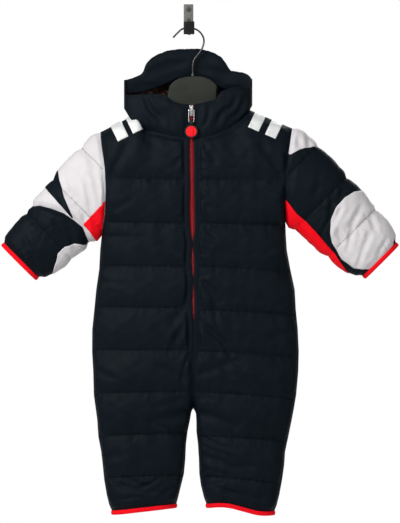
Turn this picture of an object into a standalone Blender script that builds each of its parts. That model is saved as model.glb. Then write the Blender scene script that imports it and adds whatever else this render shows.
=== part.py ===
"""Baby snowsuit with a hood, on a hanger that hangs from a wall hook.

Lengths are in millimetres until a mesh is made. x runs to the wearer's left, z up, and y from the
garment's front to the wall, which is y = 0. A side's x is measured outwards from its middle, and
its sign turns it to the wearer's right (-1) or left (+1). Depths are measured from the plane of
the side seams, forwards for the front and backwards for the back.
"""

import math

import bpy
import numpy as np
from mathutils import Vector
from mathutils.bvhtree import BVHTree

MM = 0.001
SEAM_PLANE_Y = -52.0
HOOK_X = -8.0
GAP = 0.3
HALF_GAP = GAP / 2

WALL = 2.5
BODY_PUFF = 6.5
BACK_PUFF = 5.5
SLEEVE_PUFF = 5.0
HOOD_PUFF = 3.5
SECTION_POWER = 2.4
ZIP_BAND = 9.0
SEAM_FADE = 11.0

NECK_DEPTH = {"front": 34.0, "back": 27.0}
ARMHOLE_DEPTH = 33.0
CROTCH_Z = -694.8
VALLEY_TOP_Z = -595.0
NECK_COLUMN = 0.7
BINDING_WALL = 3.0
# Rows of a binding: how far it stands out, distance from the cloth's edge.
BINDING_ROWS = ((0.2, GAP), (1.2, 3.6), (0.2, 7.0))

SIGN = {"right": -1.0, "left": 1.0}
FACING = {"front": -1.0, "back": 1.0}

# Columns of a panel, as parts of the way from its inner edge to its side seam.
FRONT_COLUMNS = (0.0, 0.06, 0.12, 0.24, 0.4, 0.56, NECK_COLUMN, 0.84, 0.93, 0.98, 1.0)
BACK_COLUMNS = (0.0, 0.07, 0.22, 0.46, NECK_COLUMN, 0.84, 0.93, 0.98, 1.0)
COLUMNS = {"front": FRONT_COLUMNS, "back": BACK_COLUMNS}

# Rows between two quilting lines, as parts of the channel.
CHANNEL_ROWS = (0.0, 0.14, 0.5, 0.86)
YOKE_ROWS = (0.0, 0.07, 0.18, 0.36, 0.6, 0.84)

# Quilting lines from the chest to the ankle: height at the middle, height at the side seam.
QUILT_LINES = {
    "right": (
        (-294.0, -292.0), (-370.0, -367.5), (-445.5, -444.5), (-518.0, -516.0),
        (-591.5, -591.5), (-664.0, -667.0), (-737.0, -742.0), (-810.0, -815.5),
    ),
    "left": (
        (-294.0, -297.5), (-370.0, -374.5), (-446.0, -455.0), (-521.5, -530.0),
        (-593.0, -605.5), (-665.0, -677.0), (-742.0, -751.0), (-812.0, -826.0),
    ),
}

# Side edge of the body, from the shoulder tip down the armhole and side seam: height, x.
SIDE_EDGE = {
    "right": (
        (-209.7, 162.0), (-257.0, 155.0), (-311.5, 152.2), (-355.0, 154.0), (-390.2, 160.0),
        (-416.5, 162.8), (-450.0, 164.5), (-486.5, 169.8), (-520.0, 173.0), (-556.5, 176.8),
        (-595.0, 177.0), (-630.0, 175.0), (-670.0, 174.0), (-695.0, 170.6), (-714.0, 168.0),
        (-744.0, 166.0), (-770.0, 161.0), (-793.0, 158.4), (-819.0, 155.8), (-845.0, 151.4),
        (-863.0, 147.0), (-881.0, 138.5),
    ),
    "left": (
        (-202.7, 172.9), (-248.5, 166.0), (-294.0, 162.0), (-332.5, 161.0), (-367.5, 162.0),
        (-390.0, 162.8), (-416.5, 164.5), (-450.0, 170.6), (-486.5, 178.5), (-520.0, 180.2),
        (-556.5, 183.8), (-595.0, 185.5), (-630.0, 184.6), (-670.0, 181.0), (-695.0, 176.8),
        (-714.0, 173.2), (-744.0, 167.0), (-770.0, 161.5), (-793.0, 160.0), (-819.0, 156.3),
        (-845.0, 151.4), (-863.0, 147.0), (-881.0, 140.0),
    ),
}
UNDERARM_Z = {"right": -390.2, "left": -367.5}

# Inseam of each leg: height, x.
INSEAM = {
    "right": (
        (-694.8, -0.3), (-698.0, 2.4), (-703.5, 3.5), (-714.0, 5.2), (-735.0, 9.6),
        (-756.0, 12.2), (-784.0, 13.5), (-808.5, 15.8), (-829.5, 21.0), (-850.5, 26.2),
        (-868.0, 31.0),
    ),
    "left": (
        (-694.8, 0.7), (-698.0, 3.4), (-703.5, 5.0), (-714.0, 5.8), (-735.0, 6.0),
        (-756.0, 8.6), (-784.0, 10.3), (-808.5, 11.0), (-829.5, 14.0), (-850.5, 19.2),
        (-868.0, 26.0),
    ),
}

# Line of the zip and of the seam below it: height, x, half the opening between the front edges.
ZIP_LINE = (
    (-150.0, -3.0, 3.8), (-222.0, -2.5, 3.8), (-300.0, -2.0, 4.2), (-390.0, -1.0, 4.0),
    (-470.0, 0.0, 3.2), (-500.0, 0.5, 1.8), (-550.0, 1.0, 1.2), (-583.0, 1.3, 0.4),
    (-595.0, 1.3, HALF_GAP), (-694.8, 0.5, HALF_GAP),
)

# Half depth of the padded body: height, front, back.
BODY_DEPTH = (
    (-222.0, 36.0, 31.0), (-294.0, 40.0, 36.0), (-370.0, 41.0, 36.0), (-445.0, 42.0, 36.0),
    (-520.0, 43.0, 38.0), (-595.0, 43.0, 40.0), (-665.0, 41.0, 40.0), (-737.0, 37.0, 36.0),
    (-810.0, 35.0, 34.0), (-880.0, 30.0, 30.0),
)

# Neck edge of each side: x, front height, back height. The last row is the neck point.
NECK_EDGE = {
    "right": ((0.0, -222.2, -190.0), (37.8, -217.0, -189.0), (85.8, -205.6, -182.0),
              (98.0, -177.0, -177.0)),
    "left": ((0.0, -222.2, -190.0), (31.5, -217.0, -189.0), (60.5, -205.6, -186.0),
             (82.2, -190.0, -180.0), (100.0, -171.0, -171.0)),
}

# Leg hem: part of the way from inseam to side seam, height.
HEM = {
    "right": ((0.0, -861.0), (0.6, -868.5), (1.0, -874.0)),
    "left": ((0.0, -862.5), (0.25, -857.5), (0.85, -877.0), (1.0, -873.0)),
}

# Soft folds in the padding: side, x and height of both ends, half width, depth.
FOLDS = (
    ("left", 8.0, -460.0, 46.0, -505.0, 8.0, 4.5),
    ("left", 8.0, -540.0, 52.0, -578.0, 7.0, 4.5),
    ("left", 12.0, -632.0, 70.0, -612.0, 8.0, 4.0),
    ("left", 14.0, -700.0, 76.0, -722.0, 9.0, 4.5),
    ("left", 24.0, -776.0, 96.0, -802.0, 8.0, 4.5),
    ("left", 60.0, -838.0, 118.0, -850.0, 7.0, 4.0),
    ("right", 8.0, -500.0, 34.0, -540.0, 7.0, 4.0),
    ("right", 14.0, -640.0, 60.0, -620.0, 8.0, 4.0),
    ("right", 14.0, -702.0, 72.0, -716.0, 9.0, 4.5),
    ("right", 66.0, -838.0, 122.0, -828.0, 7.0, 4.5),
    ("right", 118.0, -240.0, 150.0, -300.0, 8.0, 4.0),
    ("left", 120.0, -236.0, 156.0, -286.0, 8.0, 4.0),
)

# Sleeves lie along an axis that slopes down and out at 45 degrees. u runs along it and v across.
ROOT_HALF = math.sqrt(0.5)
# Upper outline of each sleeve: u, v.
SLEEVE_TOP = {
    "right": ((263.0, 33.7), (292.0, 32.0), (329.0, 32.0), (363.0, 33.0), (400.0, 38.0),
              (439.0, 41.0), (483.0, 47.0), (517.0, 50.0), (528.0, 56.0)),
    "left": ((265.6, 21.1), (296.0, 16.0), (328.0, 14.0), (387.0, 14.0), (416.0, 15.0),
             (442.0, 19.0), (497.0, 22.0), (521.0, 28.0), (545.0, 37.0)),
}
# Lower outline of each sleeve, from the underarm: u, v.
SLEEVE_BOTTOM = {
    "right": ((389.0, 162.8), (407.0, 157.0), (426.0, 153.0), (455.0, 153.0), (473.0, 151.0),
              (495.0, 144.0), (528.0, 134.0)),
    "left": ((374.4, 145.3), (398.0, 139.0), (424.0, 134.0), (450.0, 134.0), (481.0, 132.0),
             (518.0, 123.0), (545.0, 113.0)),
}
SLEEVE_DEPTH = ((260.0, ARMHOLE_DEPTH), (390.0, ARMHOLE_DEPTH), (455.0, 31.0), (545.0, 25.0))
SLEEVE_LINES = {"right": (231.0, 306.0, 381.0, 455.0, 529.0),
                "left": (245.0, 320.0, 395.0, 469.5, 546.0)}
RING_STEP = 1.8
SLEEVE_RINGS = {
    "right": (264.0, 280.0, 306.0, 320.0, 343.0, 366.0, 381.0, 396.0, 425.0, 440.0, 455.0,
              470.0, 498.0, 520.2),
    "left": (267.0, 285.0, 320.0, 334.0, 357.0, 380.0, 395.0, 410.0, 432.0, 455.0, 469.5,
             484.0, 512.0, 537.2),
}
# The seam where the right sleeve turns to the forearm's cloth: part of the way down, u.
FOREARM_SEAM = ((0.0, 440.0), (0.09, 429.0), (0.26, 418.0), (0.43, 409.0), (0.6, 405.0),
                (0.77, 403.0), (1.0, 414.0))

# Panels sewn on the sleeves: name, side, cloth, part of the sleeve, lift off it, and rows of the
# part of the way down the sleeve, first u and last u.
ARMHOLE = 0.0
SLEEVE_PANELS = (
    ("sleeve_right_wedge", "right", "navy", "upper", 0.7,
     ((0.0, 363.0, 400.0), (0.08, 373.0, 401.0), (0.27, 388.5, 402.5), (0.57, 403.0, 405.0))),
    ("sleeve_right_gusset", "right", "red", "upper", 2.2,
     ((0.66, ARMHOLE, 343.0), (0.73, ARMHOLE, 399.0), (0.85, ARMHOLE, 399.0),
      (1.0, ARMHOLE, 402.0))),
    ("sleeve_right_inner", "right", "grey", "lower", 0.7,
     ((0.79, 452.0, 465.0), (0.87, 432.0, 476.0), (1.0, 417.0, 497.0))),
    ("sleeve_left_cap", "left", "grey", "whole", 1.3,
     ((0.0, ARMHOLE, 322.0), (0.08, ARMHOLE, 311.0), (0.16, ARMHOLE, 303.0),
      (0.28, ARMHOLE, 297.0))),
    ("sleeve_left_forearm", "left", "grey", "whole", 0.6,
     ((0.0, 429.0, 528.0), (0.09, 421.0, 536.0), (0.24, 417.0, 537.0), (0.42, 418.0, 537.0),
      (0.59, 427.0, 537.0), (0.72, 442.0, 537.0), (0.81, 457.0, 536.0), (0.92, 496.0, 512.0))),
    ("sleeve_left_gusset", "left", "red", "whole", 2.9,
     ((0.75, ARMHOLE, 346.0), (0.82, ARMHOLE, 385.0), (0.89, ARMHOLE, 470.0),
      (1.0, ARMHOLE, 516.0))),
)
PANEL_WALL = 0.9
PANEL_STEP = 0.1

# Front edge of the hood at the collar: x, height.
MOUTH_EDGE = {
    "right": ((0.0, -162.8), (22.0, -160.8), (35.0, -156.5), (46.0, -146.5), (60.0, -143.5),
              (121.0, -145.0)),
    "left": ((0.0, -162.8), (38.5, -154.0), (50.8, -138.0), (73.5, -130.5), (104.0, -133.0)),
}
HOOD_WIDTH = {"right": 121.0, "left": 104.0}
COLLAR_DEPTH = 31.0
NECK_POINT_GAP = 1.0
COLLAR_ROWS = (0.0, 0.18, 0.5, 0.82, 1.0)
# Rim of the hood's back: x to the wearer's left, height.
HOOD_RIM = (
    (-121.0, -119.5), (-104.0, -115.5), (-87.5, -110.0), (-83.5, -99.5), (-80.0, -91.0),
    (-73.0, -82.5), (-63.0, -76.0), (-45.0, -70.0), (-25.0, -67.0), (0.0, -66.0), (16.0, -66.0),
    (31.0, -69.0), (41.0, -74.5), (51.0, -82.0), (58.5, -92.0), (65.0, -103.0), (79.0, -106.5),
    (94.0, -109.5), (104.0, -116.4),
)
# Rows of the hood's back: part of the height, depth at the middle and side, drop in front of
# the rim at the middle and side.
HOOD_ROWS = (
    (0.0, 27.0, 0.15, 0.0, 0.0), (0.12, 30.0, 0.15, 0.0, 0.0), (0.35, 34.0, 0.15, 0.0, 0.0),
    (0.6, 35.0, 0.15, 0.0, 0.0), (0.82, 34.0, 0.15, 0.0, 0.0), (0.95, 30.0, 0.15, 0.0, 0.0),
    (1.0, 22.0, -0.4, 0.0, 0.0), (1.0, 14.0, -1.2, 2.5, 0.4), (1.0, 9.0, -2.0, 12.0, 1.2),
    (1.0, 8.0, -2.6, 28.0, 2.4), (1.0, 10.0, -3.2, 43.0, 4.0),
)
# Columns of the hood's back between those that it shares with the panels below it.
HOOD_EXTRA_COLUMNS = (0.15, 0.5, 0.6, 0.69, 0.75, 0.86, 0.95)

# Silver stripes over each shoulder: x of both edges at the ridge.
STRIPES = (
    ("stripe_right_outer", "right", 144.0, 125.5),
    ("stripe_right_inner", "right", 117.5, 101.0),
    ("stripe_left_inner", "left", 127.5, 109.0),
    ("stripe_left_outer", "left", 157.0, 138.5),
)
STRIPE_SLANT = 0.48
STRIPE_DROPS = (27.0, 19.0, 12.0, 6.5, 2.5)
STRIPE_LIFT = 1.6
STRIPE_WALL = 0.8

# Hanger: x, height of its upper edge, height of its lower edge.
HANGER = (
    (-152.0, -210.5, -226.0), (-135.0, -201.3, -222.0), (-112.0, -189.6, -217.0),
    (-98.0, -183.7, -214.0),
    (-80.0, -183.0, -211.0), (-56.0, -170.0, -204.0), (-46.0, -156.0, -200.0),
    (-42.5, -134.0, -198.0), (-37.0, -124.0, -198.0), (-24.0, -115.5, -197.0),
    (0.0, -111.5, -196.0), (21.0, -114.0, -197.0), (35.5, -121.5, -198.0),
    (42.5, -133.0, -198.0), (46.0, -154.0, -200.0), (58.0, -166.0, -203.0),
    (82.0, -175.0, -208.0), (100.0, -176.3, -211.0),
    (140.0, -193.1, -219.0), (163.0, -203.3, -221.0),
)
HANGER_HALF_THICK = 4.0
HANGER_CORNER = 2.0

WIRE_RADIUS = 1.6
# Centre line of the hanger's wire hook: x, height.
WIRE_PATH = (
    (-0.6, -110.8), (-0.6, -97.0), (2.0, -83.0), (13.5, -67.5), (19.0, -53.0), (17.0, -41.0),
    (8.0, -31.0), (-6.5, -26.4), (-19.0, -29.0), (-28.0, -36.8), (-35.0, -44.0),
)
WIRE_STEPS = 2

PLATE_SIZE = (17.0, 3.0, 50.0)
PLATE_CENTRE = (-8.0, -1.5, -8.0)
ARM_RADIUS = 4.5
ARM_Z = -32.9
TIP_SIZE = (19.0, 6.0, 22.5)
TIP_CENTRE = (-7.0, -58.0, -27.2)

SLIDER_X = -3.0
SLIDER_SIZE = (6.4, 4.6, 19.0)
SLIDER_Z = -173.0
SLIDER_FRONT = -34.1
BRIDGE_RADIUS = 0.9
BRIDGE_Y = -38.3
LINK_Y = -36.0
LINK_RADIUS = 0.8
LINK_TOP_Z = -171.5
LINK_BOTTOM_Z = -192.5
LINK_HALF_WIDTH = 4.6
PULL_Z = -209.5
PULL_RADIUS = 12.0
PULL_BACK_Y = -37.3
PULL_FRONT_Y = -41.3

# Colours of the plain solids: colour, roughness, metallic.
MATERIALS = {
    "navy": ((0.012, 0.016, 0.028), 0.6, 0.0),
    "navy_lining": ((0.012, 0.015, 0.025), 0.7, 0.0),
    "grey": ((0.62, 0.61, 0.64), 0.6, 0.0),
    "silver": ((0.82, 0.82, 0.82), 0.35, 0.3),
    "red": ((0.8, 0.02, 0.035), 0.55, 0.0),
    "zip_red": ((0.5, 0.012, 0.02), 0.6, 0.0),
    "chrome": ((0.75, 0.75, 0.76), 0.2, 1.0),
    "rubber": ((0.015, 0.015, 0.017), 0.6, 0.0),
    "hanger_plastic": ((0.03, 0.03, 0.026), 0.5, 0.0),
    "wire": ((0.1, 0.1, 0.1), 0.3, 1.0),
    "hook_paint": ((0.01, 0.01, 0.01), 0.45, 0.0),
}


def table(rows, column, at):
    """The value of one column of a table at this value of its first column."""
    keys = [row[0] for row in rows]
    values = [row[column] for row in rows]
    if keys[0] > keys[-1]:
        keys, values = keys[::-1], values[::-1]
    return float(np.interp(at, keys, values))


def smooth_step(value):
    value = min(max(value, 0.0), 1.0)
    return value * value * (3.0 - 2.0 * value)


def mix(first, second, part):
    return first + (second - first) * part


def unit(vectors):
    vectors = np.asarray(vectors, float)
    length = np.linalg.norm(vectors, axis=-1, keepdims=True)
    return vectors / np.maximum(length, 1e-9)


def superellipse(part):
    return (1.0 - min(abs(part), 1.0) ** SECTION_POWER) ** (1.0 / SECTION_POWER)


def channel_height(part):
    """How far the padding of a channel stands out, from 0 at a quilting line to 1 between two."""
    return max(math.sin(math.pi * part), 0.0) ** 0.75


# The body's four panels


def side_x(side, z):
    return table(SIDE_EDGE[side], 1, z)


def inner_x(side, face, z):
    """The panel's inner edge: at the zip or centre seam, and below the crotch at the inseam."""
    if z <= CROTCH_Z:
        return table(INSEAM[side], 1, z)
    opening = table(ZIP_LINE, 2, z) if face == "front" else HALF_GAP
    return SIGN[side] * table(ZIP_LINE, 1, z) + opening


def armhole_depth(side, z):
    top = SIDE_EDGE[side][0][0]
    part = (top - z) / (top - UNDERARM_Z[side])
    if part <= 0.0 or part >= 1.0:
        return 0.0
    return ARMHOLE_DEPTH * math.sqrt(1.0 - (2.0 * part - 1.0) ** 2)


def line_z(side, line, t):
    """Height of a quilting line at this part of the way to the side. The last line is the hem."""
    if line > len(QUILT_LINES[side]):
        return table(HEM[side], 1, t)
    middle, edge = QUILT_LINES[side][line - 1]
    return mix(middle, edge, t ** 1.5)


def section_y(side, face, x, z):
    """Depth of the body below its first quilting line."""
    outer = side_x(side, z)
    inner = inner_x(side, "back", z)
    if z > VALLEY_TOP_Z:
        centre = 0.0
    elif z > CROTCH_Z:
        part = (VALLEY_TOP_Z - z) / (VALLEY_TOP_Z - CROTCH_Z)
        centre = (part * outer + inner) / (1.0 + part)
    else:
        centre = 0.5 * (inner + outer)
    deep = table(BODY_DEPTH, 1 if face == "front" else 2, z)
    arm = armhole_depth(side, z)
    return arm + (deep - arm) * superellipse((x - centre) / (outer - centre))


def top_edge(side, face, t):
    """x, depth and height of the neck edge and the shoulder seam."""
    neck = NECK_EDGE[side][-1]
    tip_z, tip_x = SIDE_EDGE[side][0]
    if t >= NECK_COLUMN:
        part = (t - NECK_COLUMN) / (1.0 - NECK_COLUMN)
        return mix(neck[0], tip_x, part), 0.0, mix(neck[1], tip_z, part)
    x = max(neck[0] * t / NECK_COLUMN, inner_x(side, face, neck[1]))
    depth = NECK_DEPTH[face] * math.sqrt(1.0 - (x / neck[0]) ** 2)
    return x, depth, table(NECK_EDGE[side], 1 if face == "front" else 2, x)


def body_point(side, face, level, t):
    """Point of a panel's seam surface. Level 0 is the top edge, and 1 the first quilting line."""
    if level < 1.0:
        x0, y0, z0 = top_edge(side, face, t)
        z1 = line_z(side, 1, t)
        x1 = mix(inner_x(side, face, z1), side_x(side, z1), t)
        z = mix(z0, z1, level)
        x = mix(x0, x1, smooth_step(level))
        rounded = math.sqrt(1.0 - (1.0 - level) ** 2)
        blend = mix(level, rounded, smooth_step((t - 0.45) / 0.25))
        y = mix(y0, section_y(side, face, x1, z1), blend)
        if t == 1.0:
            x = side_x(side, z)
            y = armhole_depth(side, z)
        elif t == 0.0:
            x = inner_x(side, face, z)
    else:
        line = min(int(level), len(QUILT_LINES[side]))
        z = mix(line_z(side, line, t), line_z(side, line + 1, t), level - line)
        z_inner = mix(line_z(side, line, 0.0), line_z(side, line + 1, 0.0), level - line)
        z_outer = mix(line_z(side, line, 1.0), line_z(side, line + 1, 1.0), level - line)
        x = mix(inner_x(side, face, z_inner), side_x(side, z_outer), t)
        y = section_y(side, face, x, z)
        if t == 1.0:
            y = armhole_depth(side, z)
        elif t == 0.0 and z <= CROTCH_Z + 0.01:
            y = 0.0
    return np.array([SIGN[side] * x, FACING[face] * max(y, HALF_GAP), z])


def level_at(side, z, t):
    """The level of a height below the first quilting line."""
    lines = [line_z(side, line, t) for line in range(1, len(QUILT_LINES[side]) + 2)]
    return float(np.interp(-z, [-height for height in lines], range(1, len(lines) + 1)))


def body_levels(side):
    """The rows of a panel, closer together at the underarm and at the crotch."""
    levels = list(YOKE_ROWS)
    for line in range(1, len(QUILT_LINES[side]) + 1):
        levels += [line + part for part in CHANNEL_ROWS]
    levels.append(len(QUILT_LINES[side]) + 1.0)
    underarm = level_at(side, UNDERARM_Z[side], 1.0)
    crotch = level_at(side, CROTCH_Z, 0.0)
    special = [underarm - 0.09, underarm, underarm + 0.09]
    special += [crotch - step for step in (0.28, 0.13, 0.04, 0.0)]
    special += [crotch + step for step in (0.05, 0.17)]
    kept = [level for level in levels
            if level == int(level) or min(abs(level - one) for one in special) > 0.055]
    special = [one for one in special if abs(one - round(one)) > 0.03]
    return sorted(kept + special), underarm, crotch


def fold_depth(side, x, z):
    deepest = 0.0
    for fold_side, x0, z0, x1, z1, half_width, deep in FOLDS:
        if fold_side != side:
            continue
        along = ((x - x0) * (x1 - x0) + (z - z0) * (z1 - z0)) / ((x1 - x0) ** 2 + (z1 - z0) ** 2)
        near = min(max(along, 0.0), 1.0)
        off = math.hypot(x - mix(x0, x1, near), z - mix(z0, z1, near))
        deepest = max(deepest, deep * math.exp(-(off / half_width) ** 2))
    return deepest


def body_puff(side, face, level, point):
    """How far the outer face stands off the seam surface."""
    x = SIGN[side] * point[0]
    z = point[2]
    height = BODY_PUFF if face == "front" else BACK_PUFF
    height *= channel_height(level - int(level))
    if face == "front":
        height -= fold_depth(side, x, z)
    band = ZIP_BAND if face == "front" and z > VALLEY_TOP_Z else 0.0
    from_inner = (x - inner_x(side, face, z) - band) / SEAM_FADE
    from_side = (side_x(side, z) - x) / SEAM_FADE
    return max(height, 0.0) * smooth_step(from_inner) * smooth_step(from_side)


def grid_normals(grid, outward, wrap=False):
    """Unit normals of a grid of points, on the side that the outward vectors point to."""
    down = np.gradient(grid, axis=0)
    if wrap:
        across = np.roll(grid, -1, axis=1) - np.roll(grid, 1, axis=1)
    else:
        across = np.gradient(grid, axis=1)
    normals = unit(np.cross(across, down))
    if (normals * outward).sum() < 0.0:
        normals = -normals
    return normals


def in_plane(curve, axis, towards):
    """Unit vectors across a curve that lies in the plane of one axis, on the side of a point."""
    flat = np.array(curve, float)
    flat[:, axis] = 0.0
    along = unit(np.gradient(flat, axis=0))
    normal = np.zeros(3)
    normal[axis] = 1.0
    across = np.cross(along, normal)
    aim = np.asarray(towards, float) - flat
    aim[:, axis] = 0.0
    across *= np.where((across * aim).sum(axis=1) < 0.0, -1.0, 1.0)[:, None]
    return across


def body_inward(side, face, grid, levels, underarm, crotch):
    """Directions into the wall. At each seam they keep to the plane of that seam."""
    sign = SIGN[side]
    facing = FACING[face]
    normals = grid_normals(grid, np.array([0.0, facing, 0.0]))
    inward = -normals
    rows = np.array(levels)
    up = np.array([0.0, 0.0, 1.0])
    open_rows = rows <= crotch + 1e-6
    seam = grid[open_rows, 0]
    inward[open_rows, 0] = in_plane(seam, 0, (0.0, 0.0, -400.0))
    legs = rows >= crotch - 1e-6
    seam = grid[legs, 0]
    inward[legs, 0] = in_plane(seam, 1, (sign * 90.0, 0.0, -750.0))
    inward[np.isclose(rows, crotch), 0] = up
    arms = rows <= underarm + 1e-6
    loop = grid[arms, -1]
    middle = (0.0, 0.0, 0.5 * (loop[0, 2] + loop[-1, 2]))
    inward[arms, -1] = in_plane(loop, 0, middle)
    seam = grid[rows >= underarm - 1e-6, -1]
    inward[rows >= underarm - 1e-6, -1] = in_plane(seam, 1, (sign * 60.0, 0.0, -620.0))
    inward[np.isclose(rows, underarm), -1] = up
    for column, t in enumerate(COLUMNS[face]):
        if t > NECK_COLUMN:
            shoulder = grid[0, -1] - grid[0, COLUMNS[face].index(NECK_COLUMN)]
            inward[0, column] = unit((shoulder[2], 0.0, -shoulder[0])) * sign
        else:
            inward[0, column] = neck_inward(side, face, grid[0, column])
    inward[0, -1] = -up
    hem = inward[-1].copy()
    hem[:, 2] = 0.0
    inward[-1] = unit(hem)
    return inward


def neck_inward(side, face, point):
    """Level direction into the neck's oval."""
    x = SIGN[side] * point[0]
    wide = NECK_EDGE[side][-1][0]
    deep = NECK_DEPTH[face]
    if x >= wide - 1e-6:
        return np.array([-SIGN[side], 0.0, 0.0])
    if x < 8.0:
        return np.array([0.0, -FACING[face], 0.0])
    return unit((-SIGN[side] * x / wide ** 2, -point[1] / deep ** 2, 0.0))


def body_panel(side, face):
    levels, underarm, crotch = body_levels(side)
    columns = COLUMNS[face]
    grid = np.array([[body_point(side, face, level, t) for t in columns] for level in levels])
    grid[0, :, 2] -= np.where(np.array(columns) <= NECK_COLUMN, HALF_GAP, 0.0)
    inward = body_inward(side, face, grid, levels, underarm, crotch)
    puff = np.array([
        [body_puff(side, face, level, grid[i, j]) for j in range(len(columns))]
        for i, level in enumerate(levels)
    ])
    outer = grid - inward * puff[..., None]
    inner = grid + inward * WALL
    arms = np.array(levels) <= underarm + 1e-6
    return {
        "seam": grid,
        "outer": outer,
        "inner": inner,
        "inward": inward,
        "armhole": grid[arms, -1],
        "armhole_inward": inward[arms, -1],
    }


# Sleeves


def sleeve_frame(side):
    """Height of the shoulder tip and the underarm, and w against u along the armhole."""
    tip = SIDE_EDGE[side][0][0]
    under = UNDERARM_Z[side]
    rows = []
    for part in np.linspace(0.0, 1.0, 61):
        z = mix(tip, under, part)
        x = side_x(side, z)
        rows.append(((x - z) * ROOT_HALF, part, (-x - z) * ROOT_HALF))
    return rows


ARMHOLE_TABLE = {side: sleeve_frame(side) for side in SIGN}


def sleeve_point(side, face, u, w):
    """Point of a sleeve's seam surface. w runs from 0 along its top to 1 along its underside."""
    rows = ARMHOLE_TABLE[side]
    top = table(SLEEVE_TOP[side], 1, u)
    if u < rows[-1][0]:
        reach = max(table(rows, 1, u), 1e-6)
        edge = table(rows, 2, u)
    else:
        reach = 1.0
        edge = table(SLEEVE_BOTTOM[side], 1, u)
    v = mix(top, edge, min(w / reach, 1.0))
    deep = table(SLEEVE_DEPTH, 1, u) * math.sqrt(max(1.0 - (2.0 * w - 1.0) ** 2, 0.0))
    x = (u - v) * ROOT_HALF
    z = -(u + v) * ROOT_HALF
    return np.array([SIGN[side] * x, FACING[face] * deep, z])


def sleeve_puff(side, u, first, last):
    lines = SLEEVE_LINES[side]
    at = int(np.clip(np.searchsorted(lines, u) - 1, 0, len(lines) - 2))
    part = (u - lines[at]) / (lines[at + 1] - lines[at])
    fade = smooth_step((u - first) / SEAM_FADE) * smooth_step((last - u) / SEAM_FADE)
    return SLEEVE_PUFF * channel_height(part) * fade


def sleeve_columns(side, panels):
    """Columns round a sleeve, from the tip down the front and up the back: w, face, edge, inward."""
    tip = SIDE_EDGE[side][0][0]
    under = UNDERARM_Z[side]
    columns = []
    for face in ("front", "back"):
        panel = panels[side, face]
        found = []
        for point, inward in zip(panel["armhole"], panel["armhole_inward"]):
            w = (tip - point[2]) / (tip - under)
            found.append((min(max(w, 0.0), 1.0), face, point, inward))
        columns += found if face == "front" else found[::-1][1:-1]
    return columns


def sleeve_tube(side, part, panels):
    """Grid of u, outer points and inner points of a sleeve, or of its upper or lower part."""
    columns = sleeve_columns(side, panels)
    rings = SLEEVE_RINGS[side]
    seam = FOREARM_SEAM[3][1]
    if part == "upper":
        rings = [u for u in rings if u < FOREARM_SEAM[0][1]] + [FOREARM_SEAM[0][1]]
    elif part == "lower":
        rings = [FOREARM_SEAM[0][1] - 40.0, seam + 5.0] + [u for u in rings if u > seam + 10.0]
    count = len(rings)
    us = np.zeros((count + 1, len(columns)))
    grid = np.zeros((count + 1, len(columns), 3))
    for j, (w, face, edge, _) in enumerate(columns):
        start = (abs(edge[0]) - edge[2]) * ROOT_HALF
        end = rings[-1]
        if part == "upper":
            end = table(FOREARM_SEAM, 1, w) - GAP
        elif part == "lower":
            start = table(FOREARM_SEAM, 1, w) + GAP
        for k in range(count + 1):
            wanted = start if k == 0 else rings[k - 1]
            u = min(max(wanted, start + RING_STEP * k), end - RING_STEP * (count - k))
            us[k, j] = u
            grid[k, j] = sleeve_point(side, face, u, w)
        if part != "lower":
            us[0, j] = start
            grid[0, j] = edge + np.array([SIGN[side] * GAP, 0.0, 0.0])
    centre = grid.mean(axis=1, keepdims=True)
    inward = -grid_normals(grid, grid - centre, wrap=True)
    if part != "lower":
        inward[0] = np.array([column[3] for column in columns])
    puff = np.zeros((count + 1, len(columns)))
    for j in range(len(columns)):
        for k in range(count + 1):
            puff[k, j] = sleeve_puff(side, us[k, j], us[0, j], us[-1, j])
    outer = grid - inward * puff[..., None]
    inner = grid + inward * WALL
    return {"u": us, "outer": outer, "inner": inner, "inward": inward, "columns": columns}


def along_column(tube, column, u):
    """Outer point and direction of a tube at this u, on the straight edge between its rings."""
    us = tube["u"][:, column]
    point = np.array([np.interp(u, us, tube["outer"][:, column, axis]) for axis in range(3)])
    inward = [np.interp(u, us, tube["inward"][:, column, axis]) for axis in range(3)]
    return point, unit(inward)


def sleeve_panel(rows, lift, tube):
    """Grids of a panel sewn on a sleeve, with the tube's own points moved out."""
    first_w, last_w = rows[0][0], rows[-1][0]
    inside = [j for j, column in enumerate(tube["columns"])
              if first_w - 1e-6 <= column[0] <= last_w + 1e-6]
    count = len(tube["columns"])
    under = first_w > 0.5
    if not under:
        inside = sorted(inside, key=lambda j: j if j <= count // 2 else j - count)
    spans = []
    for column in inside:
        w = tube["columns"][column][0]
        us = tube["u"][:, column]
        start = max(table(rows, 1, w), us[0] + 3.0)
        end = max(min(table(rows, 2, w), us[-1] - 0.4), start + 2.0)
        spans.append((start, end))
    crossed = [k for k in range(tube["u"].shape[0])
               if any(start < tube["u"][k, column] < end
                      for column, (start, end) in zip(inside, spans))]
    count = len(crossed) + 2
    outer = np.zeros((count, len(inside), 3))
    inward = np.zeros_like(outer)
    for i, (column, (start, end)) in enumerate(zip(inside, spans)):
        us = [start] + [tube["u"][k, column] for k in crossed] + [end]
        for k in range(count):
            u = min(max(us[k], start + PANEL_STEP * k), end - PANEL_STEP * (count - 1 - k))
            outer[k, i], inward[k, i] = along_column(tube, column, u)
    base = outer - inward * lift
    return base - inward * PANEL_WALL, base


# Hood


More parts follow.
